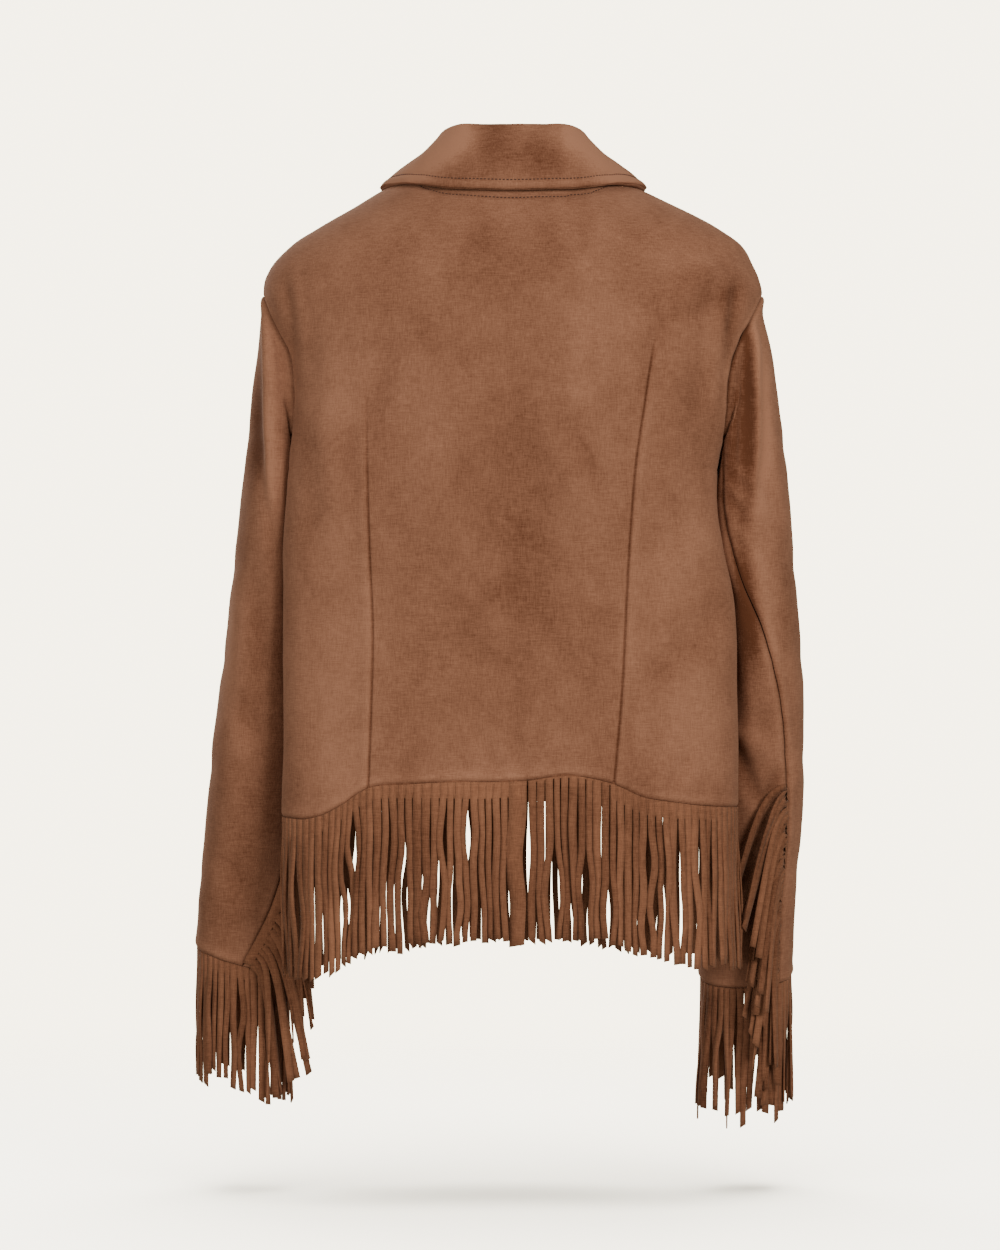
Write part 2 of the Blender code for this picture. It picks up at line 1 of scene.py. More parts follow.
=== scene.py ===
"""Looks for the fringed buckskin jacket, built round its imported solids.

Lengths are in millimetres, but in metres in the studio.  Each cut piece is a smooth sheet through
the corners of its solid's outer face.  Creases, seams and darts are soft troughs and ridges on
that sheet, and the strands of the fringe hang from the same sheets.  The front faces -Y, +X is the
wearer's left, and u runs along a sheet's rows anticlockwise while v runs upward.
"""

import math

import bmesh
import bpy
import numpy as np
from mathutils.bvhtree import BVHTree
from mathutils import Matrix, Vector


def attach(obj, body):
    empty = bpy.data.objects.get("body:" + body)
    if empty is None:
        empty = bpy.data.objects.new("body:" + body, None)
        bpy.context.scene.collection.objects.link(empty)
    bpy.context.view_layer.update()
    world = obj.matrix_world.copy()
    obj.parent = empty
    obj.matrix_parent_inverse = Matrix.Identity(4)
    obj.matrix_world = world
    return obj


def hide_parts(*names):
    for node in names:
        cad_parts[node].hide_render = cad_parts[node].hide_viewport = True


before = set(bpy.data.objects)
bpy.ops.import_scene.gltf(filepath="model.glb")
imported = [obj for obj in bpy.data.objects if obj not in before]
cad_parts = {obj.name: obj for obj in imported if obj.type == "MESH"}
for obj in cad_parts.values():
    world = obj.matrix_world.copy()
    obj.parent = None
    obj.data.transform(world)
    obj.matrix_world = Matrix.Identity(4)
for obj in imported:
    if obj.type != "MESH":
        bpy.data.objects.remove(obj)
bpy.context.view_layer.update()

MM = 0.001
UP = np.array((0.0, 0.0, 1.0))
SIDES = ("left", "right")

# Cloth
PANEL_WALL = 1.6  # thickness of the solids of the cut pieces
STRIP_WALL = 3.0  # and of those of the fringe strips
WALL_TOLERANCE = 0.02
WELD = 0.005
CELL = 3.0  # spacing of a panel's points
COLLAR_CELL = 2.2
EDGE_STEPS = (0.0, 0.7, 1.6, 2.8, 4.4)  # spacing beside a seam
SHELL = 1.3  # thickness of the shown cloth
TURNING = ((0.15, 0.5), (0.2, 1.4), (0.0, 3.4))  # turned edge: out along the cloth, and in from it
BODY_TURNING = ((0.2, 0.5), (0.4, 1.4), (1.6, 3.2))
BODY_ALLOWANCE = ((7.0, 4.2),)  # reaches on behind the neighbour at the sides, and closes the seam
SLEEVE_TURNING = ((0.3, 0.5), (0.6, 1.4), (0.6, 4.4))  # closes the wider gaps of the sleeves

# Seams
SEAM_SINK = 1.1
SEAM_SINK_WIDTH = 1.5
SEAM_ROLL = 0.45
SEAM_ROLL_PLACE = 4.5
SEAM_ROLL_WIDTH = 3.0
PUCKER = 0.4
PUCKER_SIZE = 9.0
PUCKER_REACH = 11.0
SEAM_GROOVE_PAINTED_SHADE = -0.9  # painted shade in each seam's groove
# painted highlight on the rolled edge beside each seam
SEAM_ROLL_PAINTED_HIGHLIGHT = 0.5

# Overall unevenness: size and height of each kind of ripple
UNEVENNESS = ((95.0, 1.1), (38.0, 0.45), (16.0, 0.12))
RIPPLE_WAVES = 14

# Creases
CREASE_POINTS = 14  # of the smooth line through a crease's path
CREASE_RIM = 0.35  # how far the rim on each side goes the other way, as a share of the depth
CREASE_RIM_PLACE = 1.9  # in widths from the line
CREASE_END = 0.3  # share of the line in which an end fades out
CREASE_FACING = (0.05, 0.4)  # how squarely the cloth faces the side on which it is drawn
CREASE_EDGE = 14.0  # creases die out this near a piece's edge
CREASE_PAINTED_SHADE = 0.22  # painted light and shade: how much lighter the cloth is painted for each millimetre of ridge, and darker in a trough

# Collar
COLLAR_SINK = 0.5
COLLAR_SMOOTHNESS = 0.3

# Fringe strips
STRIP_INSET = 1.7  # a strip is sewn in this far below its solid's outer face
ALLOWANCE_INSET = 3.2  # and its seam allowance is turned in behind it
ALLOWANCE_DROPS = (4.5, 1.0, -2.5)
ALLOWANCE_PITCH = 6.7
# painted shade on the turned-in allowance behind the seam
ALLOWANCE_PAINTED_SHADE = -0.8
CUFF_FALL = 0.5  # from a sleeve's edge down to its strip
HANG_COLUMNS = ("length", "pitch", "header", "sway", "lift", "twist", "uneven")
HANG = {
    "hem": (136.0, 6.7, 12.5, 1.5, 1.8, 15.0, 1.2),
    "cuff_left": (106.0, 6.2, 11.0, 3.2, 2.8, 24.0, 2.4),
    "cuff_right": (106.0, 6.4, 2.0, 4.4, 3.4, 26.0, 7.0),
}
HEADER_WAVE = (1.5, 23.0)  # how unevenly the hem's slits start: height and size
CUT_TO_SEAM = (-84.0, -12.0)  # across the back, where the slits reach the seam
CUT_HEADER = 1.5
LAST_STRAND = 16.0  # the wide one beside the join at the back

# Strands
STRAND_WALL = 1.3
STRAND_WELD = 0.01
STRAND_GAP = 0.85
STRAND_WIDTHS = 0.16  # share by which widths differ
STRAND_STEPS = 15
HEADER_STEPS = 4
GROUP_SIZES = (2, 6)  # strands that were cut and hang alike
GROUP_COLUMNS = ("length", "sway", "lift", "slant")
GROUP_UNEVEN = 2.4
GROUP_SHARE = 0.5  # of a strip's sway and lift that a group has
OWN_SWAY = 0.4  # and that each strand has of its own
OWN_LIFT = 0.6
SWAY_WAVE = (0.8, (1.0, 2.4))  # bends down a strand: height, and how many half waves
LIFT_WAVE = (1.1, (0.8, 2.0))
LOOSENING = 0.8
TWIST_DELAY = 1.4
CUP = 0.5
TIP_SLANT = 1.4
OWN_SLANT = 0.5
TIP_NARROWING = 0.12
HEADER_TONE = 0.5
HEADER_TONE_FADE = (-2.0, 12.0)  # below the header, where a strand's own shade begins
STRAND_TONE = 0.45
TIP_TONE = 0.25
TIP_TONE_REACH = 12.0

# Where the hem's strands stand apart: across, from and to this far below the seam, how wide, and
# whether the front's strands stand apart there too
PARTING_COLUMNS = ("across", "top", "foot", "width", "through")
HEM_PARTINGS = (
    (183, 46, 124, 4.0, False), (145, 74, 108, 2.5, True), (139, 42, 80, 3.2, True),
    (133, 18, 60, 3.4, False), (97, 38, 70, 1.4, True), (90, 55, 124, 2.0, True),
    (78, 58, 100, 2.2, True), (70, 92, 126, 3.4, False), (49, 88, 120, 2.8, False),
    (38, 24, 62, 3.0, True), (4, 60, 132, 2.6, True), (-5, 34, 96, 3.6, False),
    (-34, 62, 130, 5.2, False), (-59, 68, 110, 3.2, True), (-83, 82, 130, 3.6, True),
    (-110, 96, 124, 2.6, True), (-116, 38, 68, 2.2, False), (-122, 76, 112, 3.0, True),
    (-138, 76, 120, 3.0, False), (-189, 60, 126, 4.0, False),
)
PARTING_REACH = 12.0
PARTING_EASE = 10.0

# Strands let into the sleeve's back seam. They leave it aside, out and up by these shares, turn
# down within a bend, and drift aside as they fall; the first and the last strand have values of
# their own, and those between them go evenly from one to the other.
SEAM_STRIP = {
    "left": {"start": -545.0, "header": 8.0, "aside": (0.8, 0.75), "out": (0.5, 0.4),
             "rise": (-0.5, -0.3), "bend": (10.0, 10.0), "drift": (0.02, 0.16)},
    "right": {"start": -507.0, "header": 2.5, "aside": (0.9, 0.6), "out": (0.5, 0.6),
              "rise": (0.45, 0.5), "bend": (15.0, 8.0), "drift": (0.27, 0.02)},
}
SEAM_LENGTH = 124.0
SEAM_LENGTH_SPREAD = 5.0
SEAM_ENDS = (0.01, 0.98)  # the first and last strand's places on the seam
SEAM_STRAND_PITCH = 5.0
SEAM_STRAND_WIDTH = 6.2
SEAM_STRAND_WIDTHS = (0.8, 1.05)
SEAM_STRAND_POINTS = 19
SEAM_BENDS = (0.8, 1.3)
SEAM_SPREAD = {"rise": 0.12, "drift": 0.05, "out": 0.03}
SEAM_TWIST = 40.0
SEAM_TWIST_DELAY = 1.3
SEAM_TURN = 10.0
SEAM_SLANT = 1.0
SEAM_SHADE = (-0.1, 0.35)
SEAM_HEADER_TONE = 0.3
STAND_OFF = 1.5  # from the sleeve
STAND_OFF_LAYERS = 3
STAND_OFF_STEP = 1.3
STAND_OFF_REACH = 30.0

# Stitching
STITCH_PITCH = 3.2
STITCH_LENGTH = 2.2
STITCH_RADIUS = 0.5
STITCH_SIDES = 6
STITCH_RINGS = ((0.0, 0.35, -0.25), (0.2, 0.9, 0.05), (0.8, 0.9, 0.05), (1.0, 0.35, -0.25))
STITCH_LINE_DEPTH = 0.8
STITCH_LINE_WIDTH = 1.0
# painted shade along each stitch line
STITCH_LINE_PAINTED_SHADE = -0.5
COLLAR_STITCH_AT = 8.0  # in from the collar's edges
COLLAR_STITCH_TOP = 0.6  # how far up the collar's ends they go
NECK_STITCH_AT = 11.5  # down from the neck seam

# Materials: dark and light nap, and how strong each pattern is between them
SUEDE_SHADES = ((0.105, 0.034, 0.014, 1.0), (0.350, 0.160, 0.090, 1.0))
# the fringe's copy of the suede is painted darker, as painted shade on the lower, hanging strands
FRINGE_PAINTED_SHADE_COLOURS = ((0.070, 0.022, 0.009, 1.0), (0.310, 0.132, 0.068, 1.0))
SUEDE_SHEEN = 0.16
FRINGE_SHEEN = 0.10
SHEEN_TINT = (1.0, 0.62, 0.42, 1.0)
NAP_MIDDLE = 0.59
# the last weight is that of the tone attribute: painted shade and light, and the strands' own random
# tones
CLOUDS, PATCHES, THREADS, FIBRES, PAINTED_SHADE_AND_TONE = 0.64, 0.34, 0.66, 0.42, 0.25
# the thread is painted near black, as painted shade for the stitch holes it lies in
THREAD_AND_HOLE_SHADE_COLOUR = (0.052, 0.018, 0.009, 1.0)
FLOOR_COLOUR = (0.84, 0.780, 0.640, 1.0)

# Studio, in metres
FLOOR_LEVEL = -0.86
FLOOR_RADIUS = 3.0
FLOOR_FADE = (0.45, 1.9)
CAMERA_PLACE = (0.011, 4.0, -0.37)
CAMERA_LENS = 134.0
AIM = (0.0, 0.0, -0.4)
SEEN_COLOUR = (1.0, 0.900, 0.680, 1.0)
AMBIENT_COLOUR = (1.0, 0.957, 0.880, 1.0)
SEEN_STRENGTH = 6.3  # of the surroundings, as the camera sees them
AMBIENT_STRENGTH = 0.34  # and as they light the jacket
FLOOR_LAMP_PLACE = (0.0, 0.1, 2.6)
FLOOR_LAMP_SIZE = (2.2, 4.2)
FLOOR_LAMP_POWER = 1010.0
LAMP_COLUMNS = ("name", "place", "size", "power")
LAMPS = (
    ("key", (-1.9, 3.3, 0.9), 1.3, 96.0),
    ("fill", (1.8, 3.4, 0.2), 2.2, 50.0),
    ("top", (0.3, 0.8, 2.2), 1.2, 9.0),
    ("front", (1.2, -3.2, 0.8), 2.4, 95.0),
)


# ---------------------------------------------------------------- materials

def noise(tree, place, scale, detail, stretch=(1, 1, 1), distortion=0.0):
    mapping = tree.nodes.new("ShaderNodeMapping")
    mapping.inputs["Scale"].default_value = stretch
    texture = tree.nodes.new("ShaderNodeTexNoise")
    texture.inputs["Scale"].default_value = scale
    texture.inputs["Detail"].default_value = detail
    texture.inputs["Distortion"].default_value = distortion
    tree.links.new(place, mapping.inputs["Vector"])
    tree.links.new(mapping.outputs["Vector"], texture.inputs["Vector"])
    return texture.outputs["Fac"]


def combine(tree, operation, first, second, third=None):
    math_node = tree.nodes.new("ShaderNodeMath")
    math_node.operation = operation
    for socket, value in zip(math_node.inputs, (first, second, third)):
        if isinstance(value, (int, float)):
            socket.default_value = value
        elif value is not None:
            tree.links.new(value, socket)
    return math_node.outputs["Value"]


def nap_and_painted_shade(tree):
    """How light the nap is, with the painted shade and light of the tone attribute, and how high its
    threads and fibres stand.
    """
    place = tree.nodes.new("ShaderNodeTexCoord").outputs["Object"]
    tone = tree.nodes.new("ShaderNodeAttribute")
    tone.attribute_name = "tone"
    clouds = noise(tree, place, 17, 3.0, (1, 1, 0.75), 0.4)
    patches = noise(tree, place, 60, 3.0, (1, 1, 0.8), 0.6)
    flat_threads = noise(tree, place, 1.0, 2.0, (140, 140, 1250))
    tall_threads = noise(tree, place, 1.0, 2.0, (1150, 1150, 130))
    fibres = noise(tree, place, 1500, 3.0)
    grain = combine(tree, "ADD", flat_threads, tall_threads)
    level = NAP_MIDDLE
    for pattern, middle, weight in ((clouds, 0.5, CLOUDS), (patches, 0.5, PATCHES),
                                    (grain, 1.0, THREADS), (fibres, 0.5, FIBRES),
                                    (tone.outputs["Fac"], 0.0, PAINTED_SHADE_AND_TONE)):
        base = combine(tree, "ADD", level, -middle * weight)
        level = combine(tree, "MULTIPLY_ADD", pattern, weight, base)
    return level, combine(tree, "MULTIPLY_ADD", grain, 0.5, fibres)


def suede(name, shades, sheen):
    """Napped suede: cloudy brushing, a faint cross grain and fine fibres, and the painted shade and
    light carried by the tone attribute.
    """
    material = bpy.data.materials.new(name)
    material.use_nodes = True
    nodes, link = material.node_tree.nodes, material.node_tree.links.new
    shader = nodes["Principled BSDF"]
    level, height = nap_and_painted_shade(material.node_tree)
    mix = nodes.new("ShaderNodeMix")
    mix.data_type = "RGBA"
    mix.inputs[6].default_value, mix.inputs[7].default_value = shades
    link(level, mix.inputs[0])
    link(mix.outputs[2], shader.inputs["Base Color"])
    bump = nodes.new("ShaderNodeBump")
    bump.inputs["Strength"].default_value = 0.5
    bump.inputs["Distance"].default_value = 0.00035
    link(height, bump.inputs["Height"])
    link(bump.outputs["Normal"], shader.inputs["Normal"])
    shader.inputs["Roughness"].default_value = 0.95
    shader.inputs["Specular IOR Level"].default_value = 0.12
    shader.inputs["Sheen Weight"].default_value = sheen
    shader.inputs["Sheen Roughness"].default_value = 0.55
    shader.inputs["Sheen Tint"].default_value = SHEEN_TINT
    return material


def plain(name, colour, roughness):
    """An even, matt surface."""
    material = bpy.data.materials.new(name)
    material.use_nodes = True
    shader = material.node_tree.nodes["Principled BSDF"]
    shader.inputs["Base Color"].default_value = colour
    shader.inputs["Roughness"].default_value = roughness
    return material


SUEDE = suede("suede", SUEDE_SHADES, SUEDE_SHEEN)
# a darker copy of the suede for the fringe: painted shade
SHADED_SUEDE_FRINGE = suede("suede_fringe", FRINGE_PAINTED_SHADE_COLOURS, FRINGE_SHEEN)
# thread painted near black as painted shade of the stitch holes
THREAD_AND_HOLE_SHADE = plain("thread_and_hole_shade", THREAD_AND_HOLE_SHADE_COLOUR, 0.8)


# ---------------------------------------------------------------- sheets from the solids

def welded(node):
    """A solid's points, each once, and its triangles."""
    mesh = bmesh.new()
    mesh.from_mesh(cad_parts[node].data)
    bmesh.ops.remove_doubles(mesh, verts=mesh.verts, dist=WELD * MM)
    bmesh.ops.triangulate(mesh, faces=mesh.faces)
    mesh.verts.index_update()
    points = np.array([vertex.co[:] for vertex in mesh.verts]) / MM
    triangles = np.array([[vertex.index for vertex in face.verts] for face in mesh.faces])
    mesh.free()
    return points, triangles


def groups(triangles):
    """Triangles that are joined by shared points."""
    owner = {}

    def root(item):
        while owner.setdefault(item, item) != item:
            item = owner[item]
        return item

    for first, second, third in triangles.tolist():
        owner[root(second)] = root(first)
        owner[root(third)] = root(first)
    roots = np.array([root(first) for first in triangles[:, 0].tolist()])
    return [triangles[roots == each] for each in np.unique(roots)]


def area_of(points, triangles):
    first, second, third = (points[triangles[:, corner]] for corner in range(3))
    return np.linalg.norm(np.cross(second - first, third - first), axis=1).sum() / 2


def outer_face(node, wall):
    """The larger of a thin solid's two faces, without the rim between them."""
    points, triangles = welded(node)
    corners = points[triangles]
    sides = np.linalg.norm(corners - np.roll(corners, -1, axis=1), axis=2)
    faces = triangles[(abs(sides - wall) > WALL_TOLERANCE).all(axis=1)]
    return points, max(groups(faces), key=lambda face: area_of(points, face))


def walked(loop, start, columns, opposite):
    """The rows of a grid, followed from one corner of its outline, or None where it isn't one."""
    size = len(loop)
    rows = [[loop[(start + step) % size] for step in range(columns)]]
    for step in range(1, size // 2 - columns + 2):
        last = rows[-1]
        row = [loop[(start - step) % size]]
        for near, far in zip(last, last[1:]):
            third = opposite.get((near, far))
            if third == row[-1]:
                third = opposite.get((row[-1], far))
            if third is None:
                return None
            row.append(third)
        rows.append(row)
    return rows


def outline_of(opposite):
    """The points round a face, each followed by the next."""
    following = {a: b for a, b in opposite if (b, a) not in opposite}
    loop = [min(following)]
    while following[loop[-1]] != loop[0]:
        loop.append(following[loop[-1]])
    return loop


def grid_of(node, wall):
    """The outer face's points in rows: the first row is the lowest one."""
    points, triangles = outer_face(node, wall)
    opposite = {}
    for first, second, third in triangles.tolist():
        opposite[first, second] = third
        opposite[second, third] = first
        opposite[third, first] = second
    loop = outline_of(opposite)
    count = len(np.unique(triangles))
    total = len(loop) // 2 + 2
    spread = round(math.sqrt(total * total - 4 * count))
    best, least = None, math.inf
    for columns in {(total - spread) // 2, (total + spread) // 2}:
        for start in range(len(loop)):
            rows = walked(loop, start, columns, opposite)
            if rows is None or len(set(sum(rows, []))) != count:
                continue
            grid = points[np.array(rows)]
            slant = abs(grid[:, 0, 2] - grid[:, -1, 2]).mean()
            upright = grid[0, :, 2].mean() < grid[-1, :, 2].mean()
            if upright and slant < least:
                best, least = grid, slant
    return best


def smooth(values, keys, places):
    """Values at keys, read at other places along the first axis by a smooth curve."""
    slopes = np.gradient(values, keys, axis=0)
    after = np.clip(np.searchsorted(keys, places), 1, len(keys) - 1)
    span = keys[after] - keys[after - 1]
    step = ((places - keys[after - 1]) / span).reshape((-1,) + (1,) * (values.ndim - 1))
    span = span.reshape(step.shape)
    near, far = values[after - 1], values[after]
    return (near + (far - near) * step * step * (3 - 2 * step)
            + slopes[after - 1] * span * step * (1 - step) ** 2
            + slopes[after] * span * step * step * (step - 1))


def shares(lengths):
    total = np.concatenate([[0], np.cumsum(lengths)])
    return total / total[-1]


class Sheet:
    """A smooth surface through a grid of points."""

    def __init__(self, grid):
        across = np.linalg.norm(np.diff(grid, axis=1), axis=2).mean(axis=0)
        upward = np.linalg.norm(np.diff(grid, axis=0), axis=2).mean(axis=1)
        self.grid = grid
        self.width, self.height = across.sum(), upward.sum()
        self.across, self.upward = shares(across), shares(upward)

    def read(self, u, v):
        rows = smooth(self.grid, self.upward, np.asarray(v, float))
        columns = smooth(rows.transpose(1, 0, 2), self.across, np.asarray(u, float))
        return columns.transpose(1, 0, 2)


def normals_of(grid):
    normals = np.cross(np.gradient(grid, axis=1), np.gradient(grid, axis=0))
    return normals / np.maximum(np.linalg.norm(normals, axis=2, keepdims=True), 1e-9)


def edge_spaced(length, cell):
    """Places from 0 to 1 that lie close together beside both ends."""
    edge = np.array(EDGE_STEPS)
    count = max(2, round((length - 2 * edge[-1]) / cell) + 1)
    middle = np.linspace(edge[-1], length - edge[-1], count)
    return np.concatenate([edge[:-1], middle, length - edge[-2::-1]]) / length


def to_edges(grid):
    """Distance of each point from the first and last column, and from the first and last row."""
    along = np.linalg.norm(np.diff(grid, axis=1), axis=2).cumsum(axis=1)
    along = np.concatenate([np.zeros((len(grid), 1)), along], axis=1)
    upward = np.linalg.norm(np.diff(grid, axis=0), axis=2).cumsum(axis=0)
    upward = np.concatenate([np.zeros((1, grid.shape[1])), upward], axis=0)
    return along, along[:, -1:] - along, upward, upward[-1:] - upward


# ---------------------------------------------------------------- creases

def ripples(points, size, seed):
    """Smooth noise, mostly from -1 to 1, that varies over about this size."""
    rng = np.random.default_rng(seed)
    total = np.zeros(points.shape[:-1])
    for _ in range(RIPPLE_WAVES):
        direction = rng.normal(size=3)
        direction /= np.linalg.norm(direction)
        wave = 2 * size * rng.uniform(0.7, 1.7)
        total += np.sin(points @ direction * (2 * math.pi / wave) + rng.uniform(0, 2 * math.pi))
    return total / math.sqrt(RIPPLE_WAVES)


def fade(value, low, high):
    share = np.clip((value - low) / (high - low), 0, 1)
    return share * share * (3 - 2 * share)


# A crease runs along a path drawn on one side of the jacket: the across and height of each point.
# A positive depth is a trough and a negative one a ridge.  Both ends fade out unless told otherwise.
FACES = {
    "back": (0, (0, 1, 0)),
    "front": (0, (0, -1, 0)),
    "left": (1, (1, 0, 0)),
    "right": (1, (-1, 0, 0)),
}
CREASE_COLUMNS = ("path", "width", "depth", "ends")
BOTH, FIRST, LAST, NEITHER = (True, True), (True, False), (False, True), (False, False)


def beside_path(flat, corners):
    """Each point's distance from a smooth path, and its place along it from 0 to 1."""
    path = np.reshape(corners, (-1, 2)).astype(float)
    keys = shares(np.linalg.norm(np.diff(path, axis=0), axis=1))
    if len(path) > 2:
        even = np.linspace(0, 1, CREASE_POINTS)
        path, keys = smooth(path, keys, even), even
    distance = np.full(flat.shape[:-1], np.inf)
    place = np.zeros(flat.shape[:-1])
    for index, (start, step) in enumerate(zip(path, np.diff(path, axis=0))):
        share = np.clip(((flat - start) @ step) / (step @ step), 0, 1)
        away = np.linalg.norm(flat - start - share[..., None] * step, axis=-1)
        closer = away < distance
        place[closer] = (keys[index] + (keys[index + 1] - keys[index]) * share)[closer]
        distance = np.minimum(distance, away)
    return distance, place


def crease_height(points, normals, table):
    """How far the creases move each point out."""
    total = np.zeros(points.shape[:-1])
    for face, rows in table.items():
        axis, facing = FACES[face]
        squarely = fade(normals @ np.array(facing, float), *CREASE_FACING)
        for values in rows:
            crease = {"ends": BOTH, **dict(zip(CREASE_COLUMNS, values))}
            distance, place = beside_path(points[..., (axis, 2)], crease["path"])
            across = distance / crease["width"]
            profile = np.exp(-across ** 2) - CREASE_RIM * np.exp(-(across - CREASE_RIM_PLACE) ** 2)
            for faded, inward in zip(crease["ends"], (place, 1 - place)):
                if faded:
                    profile = profile * fade(inward, 0.0, CREASE_END)
            total -= crease["depth"] * profile * squarely
    return total


# Back: drape from the shoulders, the hollow of the spine, pulls beside the darts and at the hem
BACK_CREASES = (
    ((-176, -58, -152, -82, -132, -108), 13, -2.6),
    ((-128, -96, -120, -140, -112, -190), 9, 2.0),
    ((-191, -72, -188, -100, -181, -132), 5, 2.2),
    ((-178, -96, -172, -140, -168, -200), 7, -1.6),
    ((198, -66, 190, -104, 184, -150), 5, 1.8),
    ((184, -100, 178, -150, 176, -220), 7, -1.2),
    ((-6, -90, -2, -200, -10, -330, -4, -430), 26, 1.6),
    ((66, -120, 68, -230, 60, -330), 22, -1.3),
    ((-48, -130, -44, -220, -62, -300), 20, -1.4),
    ((-36, -170, -58, -225, -86, -285), 10, 1.7),
    ((96, -110, 110, -150, 122, -205), 12, 1.2),
    ((150, -110, 160, -190, 158, -280), 13, -1.5),
    ((176, -180, 168, -250, 172, -330), 10, 1.4),
    ((-184, -330, -160, -372, -128, -404, -112, -446), 15, 2.0),
    ((-178, -290, -140, -318, -112, -340), 12, -1.3),
    ((-150, -140, -156, -220, -150, -280), 14, 1.1),
    ((14, -492, 22, -474, 36, -450), 5, 1.0, LAST),
    ((-12, -500, -4, -476, -2, -452), 5, 1.1, LAST),
    ((-20, -500, -28, -482, -40, -462), 5, -0.8, LAST),
    ((-132, -510, -140, -492, -152, -474), 6, 1.0, LAST),
    ((-96, -500, -104, -470, -104, -436), 7, -0.9, LAST),
    ((60, -380, 20, -400, -30, -396), 16, 0.9),
)
# Front: the same kinds, drawn in behind the side seams and towards the edges
FRONT_CREASES = (
    ((168, -70, 146, -104, 122, -142), 13, -2.0),
    ((-168, -70, -150, -112, -120, -150), 14, -2.1),
    ((70, -110, 62, -200, 70, -310), 20, 1.6),
    ((-64, -120, -70, -220, -58, -330), 21, 1.7),
    ((28, -180, 34, -300, 26, -420), 14, -1.2),
    ((-30, -160, -26, -290, -34, -400), 15, -1.1),
    ((170, -300, 130, -330, 96, -352), 13, 1.7),
    ((-172, -340, -128, -368, -88, -392), 14, 1.8),
    ((120, -505, 112, -480, 116, -450), 6, 1.0, LAST),
    ((-96, -505, -88, -476, -92, -440), 7, 1.0, LAST),
)
SLEEVE_CREASES = {
    "left": {
        "back": (
            ((212, -88, 209, -130, 209, -200, 206, -254, 196, -306), 4.5, -2.8, LAST),
            ((222, -110, 221, -180, 222, -260), 9, 3.2),
            ((198, -112, 196, -180, 193, -250), 5, 1.8),
            ((224, -300, 216, -370, 206, -420), 11, 1.8),
            ((244, -420, 226, -450, 204, -470), 12, 1.6),
            ((246, -560, 232, -590, 212, -612), 12, 1.4),
            ((232, -360, 238, -470, 246, -580), 14, -1.4),
        ),
        "left": (
            ((30, -180, 2, -206, -24, -214), 9, 0.6),
            ((26, -300, -8, -322, -38, -328), 10, 0.8),
            ((-64, -380, -36, -402, -8, -404), 10, 0.8),
            ((10, -470, -22, -492, -58, -494), 11, 0.7),
            ((-74, -570, -48, -590, -18, -588), 10, 0.6),
        ),
        "right": (
            ((30, -232, 24, -280, 14, -350), 16, -2.6),
        ),
        "front": (
            ((190, -300, 210, -322, 232, -326), 9, 2.2),
            ((184, -346, 208, -360, 236, -352), 9, 2.3),
            ((190, -402, 214, -412, 240, -396), 10, 1.8),
            ((246, -500, 224, -530, 200, -546), 12, 1.6),
        ),
    },
    "right": {
        "back": (
            ((-194, -100, -203, -114, -207, -170, -207, -222, -202, -268), 4.0, -3.6, LAST),
            ((-193, -120, -195, -190, -192, -276), 7, 4.6),
            ((-180, -236, -192, -250, -202, -262), 4.5, 1.8),
            ((-176, -252, -190, -270, -206, -300), 5, 2.6),
            ((-190, -232, -204, -250, -216, -286), 6, -1.8),
            ((-186, -282, -196, -312, -200, -352, -207, -380), 5.5, 3.0),
            ((-208, -290, -216, -350, -224, -430), 12, -1.6),
            ((-188, -474, -198, -493, -214, -518, -232, -496), 6.5, 3.6, NEITHER),
            ((-190, -448, -206, -470, -226, -486), 9, -2.6),
            ((-222, -330, -228, -400, -236, -470), 9, 1.1),
            ((-180, -560, -196, -590, -212, -640), 12, 1.5),
        ),
        "right": (
            ((34, -190, 6, -214, -20, -222), 9, 0.7),
            ((-60, -300, -26, -322, 8, -318), 10, 0.8),
            ((22, -372, -12, -398, -46, -402), 11, 0.8),
            ((-72, -462, -40, -486, -6, -482), 11, 0.7),
            ((-14, -560, -46, -582, -78, -584), 11, 0.6),
        ),
        "left": (
            ((28, -236, 26, -280, 16, -350), 16, -3.6),
        ),
        "front": (
            ((-186, -296, -206, -316, -230, -318), 9, 2.2),
            ((-182, -340, -206, -356, -236, -350), 10, 2.3),
            ((-186, -396, -212, -404, -238, -390), 10, 1.9),
            ((-240, -506, -214, -534, -186, -548), 12, 1.6),
        ),
    },
}

# Painted shade where the cloth is painted darker, or painted light where it is painted lighter if
# negative, drawn like the creases
BACK_PAINTED_SHADE = (
    ((6, -130, 0, -260, 10, -420), 62, 0.5),
    ((-150, -60, -168, -110), 40, 1.1),
    ((-189, -60, -182, -104, -176, -160), 8, 0.9),
    ((60, -40, 0, -60, -60, -44), 26, 0.5),
    ((150, -90, 154, -220), 30, -0.4),
    ((158, -330, 156, -430, 150, -510), 34, -0.9, FIRST),
    ((-150, -400, -148, -500), 32, -0.5, FIRST),
    ((60, -490, -40, -486), 26, -0.4),
)
# painted highlights on the collar's sides, and painted shade in its middle
COLLAR_PAINTED_SHADE = (
    ((50, 46, 72, 30, 98, 8), 17, -3.0, NEITHER),
    ((-52, 46, -74, 30, -98, 8), 15, -2.0, NEITHER),
    ((14, 44, 0, 26, -22, 24), 22, 1.1, NEITHER),
)
